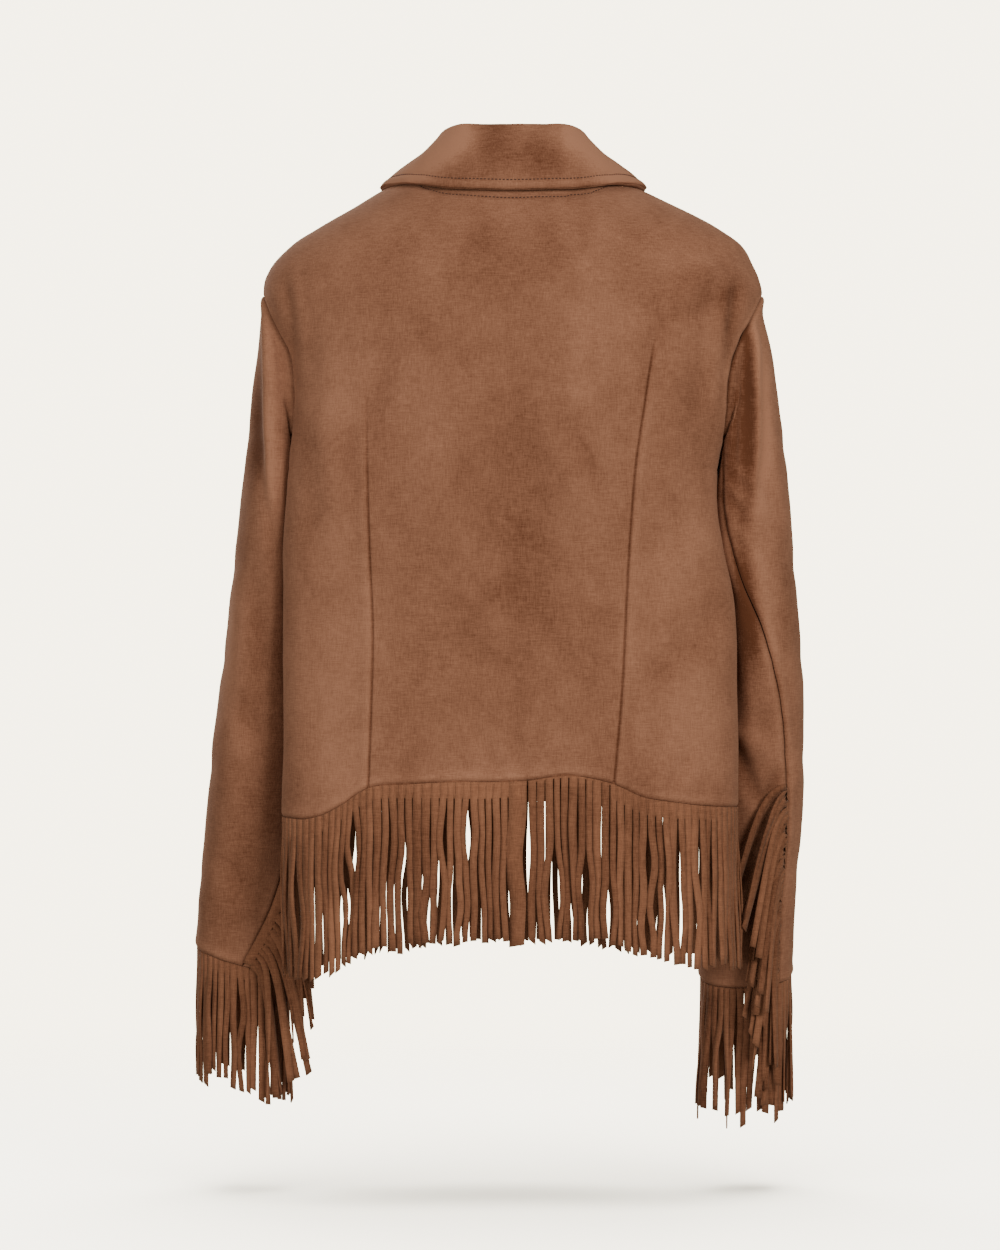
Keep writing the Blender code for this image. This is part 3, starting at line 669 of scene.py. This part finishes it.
# painted shade on the sleeves' inner planes, which face away from the light
SLEEVE_PAINTED_SHADE = {
    "left": {
        "back": (
            ((221, -100, 221, -180, 224, -280), 9, 2.2),
            ((240, -320, 244, -400, 250, -470), 11, -1.4),
            ((236, -470, 246, -600), 30, 0.8, FIRST),
        ),
        "right": (
            ((40, -300, 10, -460, 0, -600), 40, 1.2),
        ),
    },
    "right": {
        "back": (
            ((-186, -100, -187, -190, -185, -250, -186, -330), 14, 2.0, LAST),
            ((-196, -100, -202, -150, -203, -220, -198, -300), 5, 2.2, LAST),
            ((-216, -120, -218, -180, -218, -260), 7, -1.0),
            ((-188, -290, -196, -322, -203, -356, -211, -420), 8, 2.0),
            ((-186, -290, -192, -350, -200, -440), 12, 1.2),
            ((-196, -560, -200, -640), 26, 0.9),
        ),
        "left": (
            ((40, -300, 10, -460, 0, -600), 40, 1.2),
        ),
    },
}

# Waist darts: across and height, from the hem up
DARTS = (
    ((122.4, -520), (119.5, -440), (118.2, -382), (120.7, -303), (123.3, -204), (124.5, -120)),
    ((-83, -520), (-91, -430), (-97, -314), (-99.5, -277), (-103, -235), (-108, -200), (-121, -122)),
)
DART_DEPTH = 1.6
DART_WIDTH = 0.9
DART_LIP = 1.1
DART_LIP_PLACE = 4.5
DART_LIP_WIDTH = 3.5
DART_FADES = ((-300.0, -150.0), (-160.0, -116.0))  # where each one dies out
DART_STEPS = (0.0, 0.6, 1.2, 2.0, 3.2)
DART_PROBES = 240  # places across a row that find where a dart crosses it
# painted shade in each dart's groove, and painted highlight on its lip
DART_GROOVE_PAINTED_SHADE = -2.2
DART_LIP_PAINTED_HIGHLIGHT = 0.5


def dart_across(dart, heights):
    path = np.array(dart, float)
    levels = np.clip(np.asarray(heights, float).ravel(), path[0, 1], path[-1, 1])
    return smooth(path[:, :1], path[:, 1], levels)[:, 0].reshape(np.shape(heights))


def dart_height(points):
    """How deep each point lies in a dart's groove, and how high on the lip on its outer side."""
    groove, lip = np.zeros(points.shape[:-1]), np.zeros(points.shape[:-1])
    for dart, (start, end) in zip(DARTS, DART_FADES):
        distance = points[..., 0] - dart_across(dart, points[..., 2])
        outer = distance * math.copysign(1, dart[0][0])
        strength = 1 - fade(points[..., 2], start, end)
        groove += strength * np.exp(-(distance / DART_WIDTH) ** 2)
        lip += strength * np.exp(-((outer - DART_LIP_PLACE) / DART_LIP_WIDTH) ** 2)
    return groove, lip


def dart_columns(sheet, places, upward):
    """Each row's places, with extra ones that follow the darts up the panel."""
    fine = np.linspace(0, 1, DART_PROBES)
    rows = sheet.read(fine, upward)
    crossings = []
    for dart, (_, end) in zip(DARTS, DART_FADES):
        beyond = rows[..., 0] - dart_across(dart, rows[..., 2])
        crossed = np.array([np.interp(0, row[::-1], fine[::-1]) for row in beyond])
        last = np.argmax(rows[:, len(fine) // 2, 2] > end)
        crossed[last:] = crossed[last]
        crossings.append(crossed)
    crossings = np.array(crossings)
    steps = np.array(DART_STEPS) / sheet.width
    for middle in crossings[:, 0]:
        apart = places[abs(places - middle) > steps[-1] + steps[1]]
        places = np.sort(np.concatenate([apart, middle - steps[1:], middle + steps]))
    home = crossings[:, 0]
    return np.array([np.interp(places, (0, *home, 1), (0, *crossed, 1)) for crossed in crossings.T])


# ---------------------------------------------------------------- panels

def turned_in(grid, normals, turning, allowance=()):
    """The grid with its four edges turned in, as at a seam, and an allowance beyond the two sides."""
    for quarter in range(4):
        grid, normals = grid.transpose(1, 0, 2)[::-1], normals.transpose(1, 0, 2)[::-1]
        edge, inner, facing = grid[0], grid[1], normals[0]
        outward = edge - inner
        outward = outward / np.linalg.norm(outward, axis=1, keepdims=True)
        steps = turning + allowance if quarter % 2 == 0 else turning
        extra = [edge + outward * out - facing * deep for out, deep in steps]
        grid = np.concatenate([extra[::-1], grid])
        normals = np.concatenate([[facing] * len(steps), normals])
    return grid


def joined_faces(rows, columns):
    """Faces between neighbouring rows of a grid of points."""
    numbers = np.arange(rows * columns).reshape(rows, columns)
    low, high = numbers[:-1], numbers[1:]
    return np.stack([low[:, :-1], low[:, 1:], high[:, 1:], high[:, :-1]], axis=-1).reshape(-1, 4)


def linked_mesh(name, points, faces, material):
    """A smooth-shaded mesh in the scene."""
    mesh = bpy.data.meshes.new(name)
    mesh.from_pydata((np.asarray(points) * MM).tolist(), [], np.asarray(faces).tolist())
    mesh.shade_smooth()
    mesh.materials.append(material)
    item = bpy.data.objects.new(name, mesh)
    bpy.context.scene.collection.objects.link(item)
    return item


def cloth_mesh(name, points, faces, tone, wall, offset, material):
    """A mesh thickened into cloth; a fringe's strands are first joined to their header."""
    item = linked_mesh(name, points, faces, material)
    # tone: painted shade and light, and the strands' own random tones
    layer = item.data.attributes.new("tone", "FLOAT", "POINT")
    layer.data.foreach_set("value", np.asarray(tone, np.float32).ravel())
    if material == SHADED_SUEDE_FRINGE:
        item.modifiers.new("Weld", "WELD").merge_threshold = STRAND_WELD * MM
    thicken = item.modifiers.new("Thickness", "SOLIDIFY")
    thicken.thickness = wall * MM
    thicken.offset = offset
    return item


def panel_points(sheet, cell, darts):
    """A piece's points in rows, close together at its edges and beside its darts."""
    across, upward = edge_spaced(sheet.width, cell), edge_spaced(sheet.height, cell)
    if not darts:
        return sheet.read(across, upward)
    rows = dart_columns(sheet, across, upward)
    return np.array([sheet.read(row, [level])[0] for row, level in zip(rows, upward)])


def stitch_line(distance, place):
    """The cloth pulled down along a row of stitches."""
    return np.exp(-((distance - place) / STITCH_LINE_WIDTH) ** 2)


def relief(points, normals, creases, nap_and_painted_shade, seed, sink, smoothness, darts, stitched):
    """How far each point of a piece is moved out, and its tone: painted shade and light from the
    creases, seams, stitch lines, darts and the tables.
    """
    edges = to_edges(points)
    nearest = np.minimum.reduce(edges)
    lift = crease_height(points, normals, creases)
    # painted shade in the creases' troughs and painted light on their ridges, then the painted shade
    # and light of the tables
    tone = CREASE_PAINTED_SHADE * lift + crease_height(points, normals, nap_and_painted_shade)
    for index, (size, height) in enumerate(UNEVENNESS):
        lift += ripples(points, size, seed * 10 + index) * height * smoothness
    lift *= fade(nearest, 0.0, CREASE_EDGE)
    lift += ripples(points, PUCKER_SIZE, seed * 10 + 7) * PUCKER * np.exp(-nearest / PUCKER_REACH)
    groove = np.exp(-(nearest / SEAM_SINK_WIDTH) ** 2)
    roll = np.exp(-((nearest - SEAM_ROLL_PLACE) / SEAM_ROLL_WIDTH) ** 2)
    lift += SEAM_ROLL * roll - sink * groove
    # painted highlight on the seams' rolled edges, and painted shade in their grooves
    tone += SEAM_ROLL_PAINTED_HIGHLIGHT * roll + SEAM_GROOVE_PAINTED_SHADE * groove
    for chosen, place in stitched:
        pulled = stitch_line(np.minimum.reduce([edges[number] for number in chosen]), place)
        lift -= STITCH_LINE_DEPTH * pulled
        # painted shade along each sunken stitch line
        tone += STITCH_LINE_PAINTED_SHADE * pulled
    if darts:
        groove, lip = dart_height(points)
        lift += DART_LIP * lip - DART_DEPTH * groove
        # painted highlight on the darts' lips and painted shade in their grooves
        tone += DART_LIP_PAINTED_HIGHLIGHT * lip + DART_GROOVE_PAINTED_SHADE * groove
    return lift, tone


# the third argument holds the tables of painted shade and light on the cloth
def panel(node, creases, nap_and_painted_shade, seed, cell=CELL, sink=SEAM_SINK, smoothness=1.0, darts=False,
          stitched=(), turning=TURNING, allowance=()):
    """One cut piece of cloth; stitched lists edges and how far in from them stitches lie."""
    sheet = Sheet(grid_of(node, PANEL_WALL))
    points = panel_points(sheet, cell, darts)
    normals = normals_of(points)
    lift, tone = relief(points, normals, creases, nap_and_painted_shade, seed, sink, smoothness, darts, stitched)
    points = points + normals * lift[..., None]
    grid = turned_in(points, normals_of(points), turning, allowance)
    ends, sides = len(turning), len(turning + allowance)
    tone = np.pad(tone, ((ends, ends), (sides, sides)), mode="edge")
    item = cloth_mesh(f"{node}_cloth", grid.reshape(-1, 3), joined_faces(*grid.shape[:2]), tone,
                      SHELL, -1.0, SUEDE)
    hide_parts(node)
    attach(item, "root")
    return item, sheet


# ---------------------------------------------------------------- fringe

class Strands:
    """Collects ribbons of cloth for one joined mesh."""

    def __init__(self):
        self.points, self.faces, self.tone = [], [], []
        self.count = 0

    def add(self, grid, tone):
        rows, columns = grid.shape[:2]
        self.points.append(grid.reshape(-1, 3))
        self.faces.append(joined_faces(rows, columns) + self.count)
        self.tone.append(np.broadcast_to(tone, (rows, columns)).ravel())
        self.count += rows * columns

    def make(self, name):
        return cloth_mesh(name, np.concatenate(self.points), np.concatenate(self.faces),
                          np.concatenate(self.tone), STRAND_WALL, 0.0, SHADED_SUEDE_FRINGE)


def cuts_along(length, pitch, rng, last=0.0):
    """Start and end of each strand along a strip, of uneven widths, with a last one of its own."""
    room = length - last
    widths = pitch * (1 + rng.uniform(-STRAND_WIDTHS, STRAND_WIDTHS, round(room / pitch)))
    ends = np.concatenate([[0], np.cumsum(widths)]) * room / widths.sum()
    if last:
        ends = np.append(ends, length)
    halves = STRAND_GAP * rng.uniform(0.5, 1.5, len(ends)) / 2
    return list(zip(ends[:-1] + halves[:-1], ends[1:] - halves[1:]))


def fallen(sheet, u, downs):
    """A strip's surface at these distances below its top, and straight on below its foot."""
    grid = sheet.read(u, np.clip(1 - downs / sheet.height, 0, 1))
    grid[..., 2] -= np.clip(downs - sheet.height, 0, None)[:, None]
    return grid


def level_normals(along):
    facing = np.cross(along, UP)
    return facing / np.linalg.norm(facing, axis=-1, keepdims=True)


def parted(place, downs, partings):
    """How far across a strand is pushed by the gaps beside it."""
    total = np.zeros(len(downs))
    for values in partings:
        gap = dict(zip(PARTING_COLUMNS, values))
        if not gap["through"] and place[1] < 0:
            continue
        beside = place[0] - gap["across"]
        top, foot = gap["top"] - PARTING_EASE, gap["foot"] + PARTING_EASE
        opening = np.sin(math.pi * np.clip((downs - top) / (foot - top), 0, 1)) ** 2
        push = math.copysign(gap["width"], beside) * math.exp(-abs(beside) / PARTING_REACH)
        total += push * opening
    return total


def wave(loose, height, turns, rng):
    """A soft bend of its own down a strand."""
    return rng.normal(0, height) * np.sin(loose * math.pi * rng.uniform(*turns))


def turned(along, facing, turn):
    """A strand's direction across, turned about its length by these angles."""
    return along * np.cos(turn)[:, None] + facing * np.sin(turn)[:, None]


def slanted(ribbon, slant):
    """The ribbon with its tip cut at a slant."""
    ribbon[-1, :, 2] += np.array((-1, 0, 1)) * slant
    return ribbon


def strand_tone(downs, header, length, rng):
    """The header's shade, then the strand's own, which is lighter at its tip."""
    low, high = HEADER_TONE_FADE
    cut_free = fade(downs, header + low, header + high)
    own = rng.normal(0, STRAND_TONE) + TIP_TONE * fade(downs, length - TIP_TONE_REACH, length)
    return HEADER_TONE * (1 - cut_free) + own * cut_free


def hanging_strand(sheet, cut, header, hang, group, partings, rng):
    """One strand, from the strip's top to its tip, as rows of three points."""
    length = hang["length"] + group["length"] + rng.normal(0, hang["uneven"])
    downs = np.concatenate([np.linspace(0, header, HEADER_STEPS)[:-1],
                            np.linspace(header, length, STRAND_STEPS)])
    loose = fade(downs, header, length + header) ** LOOSENING
    grid = fallen(sheet, np.array((cut[0], sum(cut) / 2, cut[1])) / sheet.width, downs)
    along = grid[:, 2] - grid[:, 0]
    half = np.linalg.norm(along, axis=1, keepdims=True) / 2
    along = along / (2 * half)
    facing = level_normals(along)
    shift = (group["sway"] + rng.normal(0, hang["sway"] * OWN_SWAY)) * loose
    shift += wave(loose, *SWAY_WAVE, rng)
    shift += parted(grid[0, 1], downs, partings) * math.copysign(1, along[0, 0])
    out = (group["lift"] + rng.normal(0, hang["lift"] * OWN_LIFT)) * loose
    out += wave(loose, *LIFT_WAVE, rng)
    turn = np.radians(rng.normal(0, hang["twist"])) * loose ** TWIST_DELAY
    wide = turned(along, facing, turn) * half * (1 - TIP_NARROWING * loose[:, None] ** 2)
    centre = grid[:, 1] + along * shift[:, None] + facing * (out - STRIP_INSET)[:, None]
    cup = rng.uniform(-CUP, CUP) * loose
    ribbon = np.stack([centre - wide, centre + facing * cup[:, None], centre + wide], axis=1)
    ribbon = slanted(ribbon, group["slant"] + rng.normal(0, OWN_SLANT))
    return ribbon, strand_tone(downs, header, length, rng)[:, None], facing


def new_group(hang, rng):
    """How the next few strands, cut alike, differ from the strip's own hang."""
    spreads = (GROUP_UNEVEN, hang["sway"] * GROUP_SHARE, hang["lift"] * GROUP_SHARE, TIP_SLANT)
    return dict(zip(GROUP_COLUMNS, rng.normal(0, spreads)))


def hanging_strip(strands, sheet, cuts, header_at, hang, rng, partings=()):
    """Strands that hang from a strip's header, cut from the same cloth."""
    left_in_group = 0
    for cut, following in zip(cuts, cuts[1:] + [None]):
        if left_in_group == 0:
            left_in_group = rng.integers(*GROUP_SIZES)
            group = new_group(hang, rng)
        left_in_group -= 1
        header = header_at(sheet.read([sum(cut) / 2 / sheet.width], [1.0])[0, 0])
        ribbon, tone, facing = hanging_strand(sheet, cut, header, hang, group, partings, rng)
        strands.add(ribbon[::-1], tone[::-1])
        if following:
            beside = np.array((cut[1], following[0])) / sheet.width
            web = fallen(sheet, beside, np.linspace(0, header, HEADER_STEPS))
            web -= facing[:HEADER_STEPS, None] * STRIP_INSET
            strands.add(web[::-1], HEADER_TONE)
    seam_allowance(strands, sheet)


def seam_allowance(strands, sheet):
    """The strip's sewn edge, turned in behind the seam and painted darker as painted shade."""
    top = sheet.read(np.linspace(0, 1, round(sheet.width / ALLOWANCE_PITCH)), [1.0])[0]
    facing = level_normals(np.gradient(top, axis=0))
    drops = np.array(ALLOWANCE_DROPS)[:, None, None]
    strands.add(top - facing * ALLOWANCE_INSET - UP * drops, ALLOWANCE_PAINTED_SHADE)


def finished_fringe(item, node):
    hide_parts(node)
    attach(item, "root")


def hem_header(point):
    """How far below the seam the hem's slits start."""
    if point[1] > 0 and CUT_TO_SEAM[0] < point[0] < CUT_TO_SEAM[1]:
        return CUT_HEADER
    height, size = HEADER_WAVE
    return HANG["hem"][HANG_COLUMNS.index("header")] + height * math.sin(point[0] / size)


def hem_fringe(side, seed):
    rng = np.random.default_rng(seed)
    node = f"hem_fringe_{side}"
    hang = dict(zip(HANG_COLUMNS, HANG["hem"]))
    sheet = Sheet(grid_of(node, STRIP_WALL))
    cuts = cuts_along(sheet.width, hang["pitch"], rng, LAST_STRAND if side == "left" else 0.0)
    strands = Strands()
    hanging_strip(strands, sheet, cuts, hem_header, hang, rng, HEM_PARTINGS)
    item = strands.make(f"{node}_strands")
    finished_fringe(item, node)


def cuff_ring(top, under):
    """The sleeve's lowest row, all the way round and back to its start."""
    first = top.read(np.linspace(0, 1, 25), [0.0])[0]
    second = under.read(np.linspace(0, 1, 19), [0.0])[0]
    return np.concatenate([first[:-1], second[:-1], first[:1]]) - UP * CUFF_FALL


def cuff_fringe(side, top, under, seed):
    rng = np.random.default_rng(seed)
    node = f"cuff_fringe_{side}"
    hang = dict(zip(HANG_COLUMNS, HANG[f"cuff_{side}"]))
    ring = cuff_ring(top, under)
    sheet = Sheet(np.array([ring - UP * hang["length"], ring - UP * hang["length"] / 2, ring]))
    strands = Strands()
    hanging_strip(strands, sheet, cuts_along(sheet.width, hang["pitch"], rng),
                  lambda point: hang["header"], hang, rng)
    item = strands.make(f"{node}_strands")
    finished_fringe(item, node)


def seam_roots(side, top, start):
    """Places along the sleeve's back seam, from this height down to the cuff, and its length."""
    seam = top.read([1.0 if side == "left" else 0.0], np.linspace(0, 1, 400))[::-1, 0]
    seam = seam[seam[:, 2] < start]
    lengths = np.linalg.norm(np.diff(seam, axis=0), axis=1)
    count = round(lengths.sum() / SEAM_STRAND_PITCH)
    return smooth(seam, shares(lengths), np.linspace(*SEAM_ENDS, count)), lengths.sum()


def surface_of(items):
    points, faces = [], []
    for item in items:
        start = len(points)
        points += [vertex.co.copy() for vertex in item.data.vertices]
        faces += [[start + number for number in face.vertices] for face in item.data.polygons]
    return BVHTree.FromPolygons(points, faces)


def pushed_off(surface, point, stand_off):
    """The point, moved out to where it clears the surface by the stand-off."""
    place, normal, _, _ = surface.find_nearest(Vector(point * MM))
    place, normal = np.array(place) / MM, np.array(normal)
    height = (point - place) @ normal
    if height < stand_off and np.linalg.norm(point - place) < STAND_OFF_REACH:
        return point + normal * (stand_off - height)
    return point


def falling_path(start, way, down, bend, length, surface, stand_off, foot):
    """A strand's middle line: it turns down from its first heading and lies on what is below it."""
    step = length / (SEAM_STRAND_POINTS - 1)
    path, heading = [start], way
    for _ in range(SEAM_STRAND_POINTS - 1):
        heading = heading + (down - heading) * (1 - math.exp(-step / bend))
        heading = heading / np.linalg.norm(heading)
        point = path[-1] + heading * step
        if point[2] > foot:
            point = pushed_off(surface, point, stand_off)
        path.append(point)
    return np.array(path)


def twisted_ribbon(path, normal, rng):
    """A seam strand along its path: rows of three points, which twist as it falls."""
    turn = np.radians(rng.normal(0, SEAM_TWIST)) * np.linspace(0, 1, len(path)) ** SEAM_TWIST_DELAY
    turn += np.radians(rng.normal(0, SEAM_TURN))
    half = SEAM_STRAND_WIDTH * rng.uniform(*SEAM_STRAND_WIDTHS) / 2
    heading = np.gradient(path, axis=0)
    heading /= np.linalg.norm(heading, axis=1, keepdims=True)
    wide = np.cross(heading, normal)
    wide /= np.linalg.norm(wide, axis=1, keepdims=True)
    wide = turned(wide, np.cross(wide, heading), turn) * half
    return slanted(np.stack([path - wide, path, path + wide], axis=1), rng.normal(0, SEAM_SLANT))


def seam_heading(normal, side, values, rng):
    """The way a strand leaves the seam, and the way it falls once it has turned down."""
    toward_body = np.array((-1.0 if side == "left" else 1.0, 0.0, 0.0))
    aside = toward_body - normal * (toward_body @ normal)
    aside /= np.linalg.norm(aside)
    way = aside * values["aside"] + normal * values["out"]
    way += UP * (values["rise"] + rng.normal(0, SEAM_SPREAD["rise"]))
    way /= np.linalg.norm(way)
    drift = values["drift"] + rng.normal(0, SEAM_SPREAD["drift"])
    return way, -UP + aside * drift + normal * rng.normal(0, SEAM_SPREAD["out"])


def seam_fringe(side, top, sleeve_pieces, seed):
    rng = np.random.default_rng(seed)
    node = f"sleeve_fringe_{side}"
    rule = SEAM_STRIP[side]
    roots, width = seam_roots(side, top, rule["start"])
    surface = surface_of(sleeve_pieces)
    strands = Strands()
    header = []
    for number, (root, share) in enumerate(zip(roots, np.linspace(0, 1, len(roots)))):
        values = {name: pair[0] + (pair[1] - pair[0]) * share
                  for name, pair in rule.items() if isinstance(pair, tuple)}
        normal = np.array(surface.find_nearest(Vector(root * MM))[1])
        way, down = seam_heading(normal, side, values, rng)
        start = root + way * rule["header"]
        header.append([root - normal * 0.5, root + way * rule["header"] / 2, start])
        bend = values["bend"] * rng.uniform(*SEAM_BENDS)
        length = SEAM_LENGTH - rule["header"] + rng.normal(0, SEAM_LENGTH_SPREAD)
        stand_off = STAND_OFF + STAND_OFF_STEP * (number % STAND_OFF_LAYERS)
        path = falling_path(start, way, down, bend, length, surface, stand_off, roots[-1][2] - 4)
        strands.add(twisted_ribbon(path, normal, rng)[::-1], rng.normal(*SEAM_SHADE))
    strands.add(np.array(header), SEAM_HEADER_TONE)
    item = strands.make(f"{node}_strands")
    finished_fringe(item, node)


# ---------------------------------------------------------------- stitching

def stitch(ends, normal):
    """One short rounded stitch, as rings from end to end."""
    along = ends[1] - ends[0]
    beside = np.cross(normal, along / np.linalg.norm(along))
    turns = np.linspace(0, 2 * math.pi, STITCH_SIDES + 1)[:, None]
    rings = []
    for share, size, lift in STITCH_RINGS:
        ring = (beside * np.cos(turns) + normal * np.sin(turns)) * STITCH_RADIUS * size
        rings.append(ends[0] + along * share + normal * lift + ring)
    return np.array(rings)


def sewn(name, cloth, path):
    """Stitches along a path that lies on a cloth."""
    surface = surface_of((cloth,))
    found = [surface.find_nearest(Vector(point * MM))[:2] for point in path]
    path = np.array([np.array(place) / MM for place, _ in found])
    normals = np.array([np.array(normal) for _, normal in found])
    lengths = np.linalg.norm(np.diff(path, axis=0), axis=1)
    places, total = shares(lengths), lengths.sum()
    half = STITCH_LENGTH / total / 2
    row = Strands()
    for middle in np.arange(STITCH_PITCH, total - STITCH_PITCH, STITCH_PITCH) / total:
        ends = smooth(path, places, np.array((middle - half, middle + half)))
        row.add(stitch(ends, smooth(normals, places, np.array((middle,)))[0]), 0.0)
    item = linked_mesh(name, np.concatenate(row.points), np.concatenate(row.faces), THREAD_AND_HOLE_SHADE)
    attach(item, "root")


def inside_edge(sheet, places, distance, upper):
    """Points this far in from a sheet's upper or lower edge."""
    levels = np.linspace(0, 1, 400)
    grid = sheet.read(places, levels)
    lower_edge, upper_edge = to_edges(grid)[2:]
    inward = (upper_edge[::-1], grid[::-1]) if upper else (lower_edge, grid)
    return np.array([[np.interp(distance, column, along) for along in points.T]
                     for column, points in zip(inward[0].T, inward[1].transpose(1, 0, 2))])


def collar_stitches(cloth, sheet):
    """Up one end of the collar, along its lower edge and up the other end."""
    side, low = COLLAR_STITCH_AT / sheet.width, COLLAR_STITCH_AT / sheet.height
    rising = np.linspace(low, COLLAR_STITCH_TOP, 20)[1:]
    lower = inside_edge(sheet, np.linspace(side, 1 - side, 160), COLLAR_STITCH_AT, False)
    first, last = sheet.read([side, 1 - side], rising).transpose(1, 0, 2)
    sewn("collar_stitches", cloth, np.concatenate([first[::-1], lower, last]))


def neck_stitches(cloth, sheet):
    places = np.linspace(0.02, 0.98, 90)
    sewn("neck_stitches", cloth, inside_edge(sheet, places, NECK_STITCH_AT, True))


# ---------------------------------------------------------------- jacket

sheets, cloths = {}, {}


def add_panel(node, creases, nap_and_painted_shade, seed, **rest):
    cloths[node], sheets[node] = panel(node, creases, nap_and_painted_shade, seed, **rest)


BODY = {"turning": BODY_TURNING, "allowance": BODY_ALLOWANCE}
COLLAR = {"cell": COLLAR_CELL, "sink": COLLAR_SINK, "smoothness": COLLAR_SMOOTHNESS}

add_panel("back", {"back": BACK_CREASES}, {"back": BACK_PAINTED_SHADE}, 1, darts=True,
          stitched=(((3,), NECK_STITCH_AT),), **BODY)
for number, side in enumerate(SIDES):
    add_panel(f"front_{side}", {"front": FRONT_CREASES}, {}, 2 + number, **BODY)
    for part in ("top", "under"):
        add_panel(f"sleeve_{side}_{part}", SLEEVE_CREASES[side], SLEEVE_PAINTED_SHADE[side], 4 + number,
                  turning=SLEEVE_TURNING)
for number, part in enumerate(("under", "stand")):
    add_panel(f"collar_{part}", {}, {}, 9 + number, **COLLAR)
add_panel("collar_upper", {}, {"back": COLLAR_PAINTED_SHADE}, 8,
          stitched=(((0, 1, 2), COLLAR_STITCH_AT),), **COLLAR)
collar_stitches(cloths["collar_upper"], sheets["collar_upper"])
neck_stitches(cloths["back"], sheets["back"])

for number, side in enumerate(SIDES):
    top, under = f"sleeve_{side}_top", f"sleeve_{side}_under"
    hem_fringe(side, 20 + number)
    cuff_fringe(side, sheets[top], sheets[under], 30 + number)
    seam_fringe(side, sheets[top], (cloths[top], cloths[under]), 40 + number)


# ---------------------------------------------------------------- studio

def surroundings():
    """Pale on every side: bright to the camera, and a softer light on the jacket."""
    world = bpy.data.worlds.new("surroundings")
    world.use_nodes = True
    nodes, link = world.node_tree.nodes, world.node_tree.links.new
    seen, ambient = nodes["Background"], nodes.new("ShaderNodeBackground")
    for background, colour, strength in ((seen, SEEN_COLOUR, SEEN_STRENGTH),
                                         (ambient, AMBIENT_COLOUR, AMBIENT_STRENGTH)):
        background.inputs["Color"].default_value = colour
        background.inputs["Strength"].default_value = strength
    rays, mix = nodes.new("ShaderNodeLightPath"), nodes.new("ShaderNodeMixShader")
    link(rays.outputs["Is Camera Ray"], mix.inputs["Fac"])
    link(ambient.outputs["Background"], mix.inputs[1])
    link(seen.outputs["Background"], mix.inputs[2])
    link(mix.outputs["Shader"], nodes["World Output"].inputs["Surface"])
    bpy.context.scene.world = world


def lamp(name, place, size, power):
    """A square soft lamp, aimed at the jacket's middle."""
    light = bpy.data.lights.new(name, "AREA")
    light.size = size
    light.energy = power
    item = bpy.data.objects.new(name, light)
    item.location = place
    item.rotation_euler = (Vector(AIM) - Vector(place)).to_track_quat("-Z", "Y").to_euler()
    bpy.context.scene.collection.objects.link(item)
    return item


def floor_material():
    """Matt, and clear towards its rim, so that it fades into the surroundings."""
    material = plain("floor", FLOOR_COLOUR, 0.9)
    nodes, link = material.node_tree.nodes, material.node_tree.links.new
    shader, output = nodes["Principled BSDF"], nodes["Material Output"]
    place = nodes.new("ShaderNodeTexCoord")
    distance = nodes.new("ShaderNodeVectorMath")
    distance.operation = "LENGTH"
    link(place.outputs["Object"], distance.inputs[0])
    spread = nodes.new("ShaderNodeMapRange")
    spread.interpolation_type = "SMOOTHSTEP"
    for name, radius in zip(("From Min", "From Max"), FLOOR_FADE):
        spread.inputs[name].default_value = radius
    link(distance.outputs["Value"], spread.inputs["Value"])
    clear = nodes.new("ShaderNodeBsdfTransparent")
    mix = nodes.new("ShaderNodeMixShader")
    link(spread.outputs["Result"], mix.inputs["Fac"])
    link(shader.outputs["BSDF"], mix.inputs[1])
    link(clear.outputs["BSDF"], mix.inputs[2])
    link(mix.outputs["Shader"], output.inputs["Surface"])
    return material


def floor():
    """A pale floor under its own lamp, which fades into the surroundings."""
    bpy.ops.mesh.primitive_circle_add(vertices=96, radius=FLOOR_RADIUS, fill_type="NGON",
                                      location=(0, 0, FLOOR_LEVEL))
    item = bpy.context.object
    item.name = "floor"
    item.data.materials.append(floor_material())
    item.visible_diffuse = False
    item.visible_glossy = False
    only_floor = bpy.data.collections.new("only_floor")
    only_floor.objects.link(item)
    above = lamp("floor_lamp", FLOOR_LAMP_PLACE, FLOOR_LAMP_SIZE[0], FLOOR_LAMP_POWER)
    above.data.shape = "RECTANGLE"
    above.data.size_y = FLOOR_LAMP_SIZE[1]
    above.rotation_euler = (0, 0, 0)
    above.light_linking.receiver_collection = only_floor


def camera():
    lens = bpy.data.cameras.new("camera")
    lens.lens = CAMERA_LENS
    item = bpy.data.objects.new("camera", lens)
    item.location = CAMERA_PLACE
    item.rotation_euler = (math.radians(90), 0, math.radians(180))
    bpy.context.scene.collection.objects.link(item)
    bpy.context.scene.camera = item


surroundings()
for values in LAMPS:
    lamp(**dict(zip(LAMP_COLUMNS, values)))
floor()
camera()
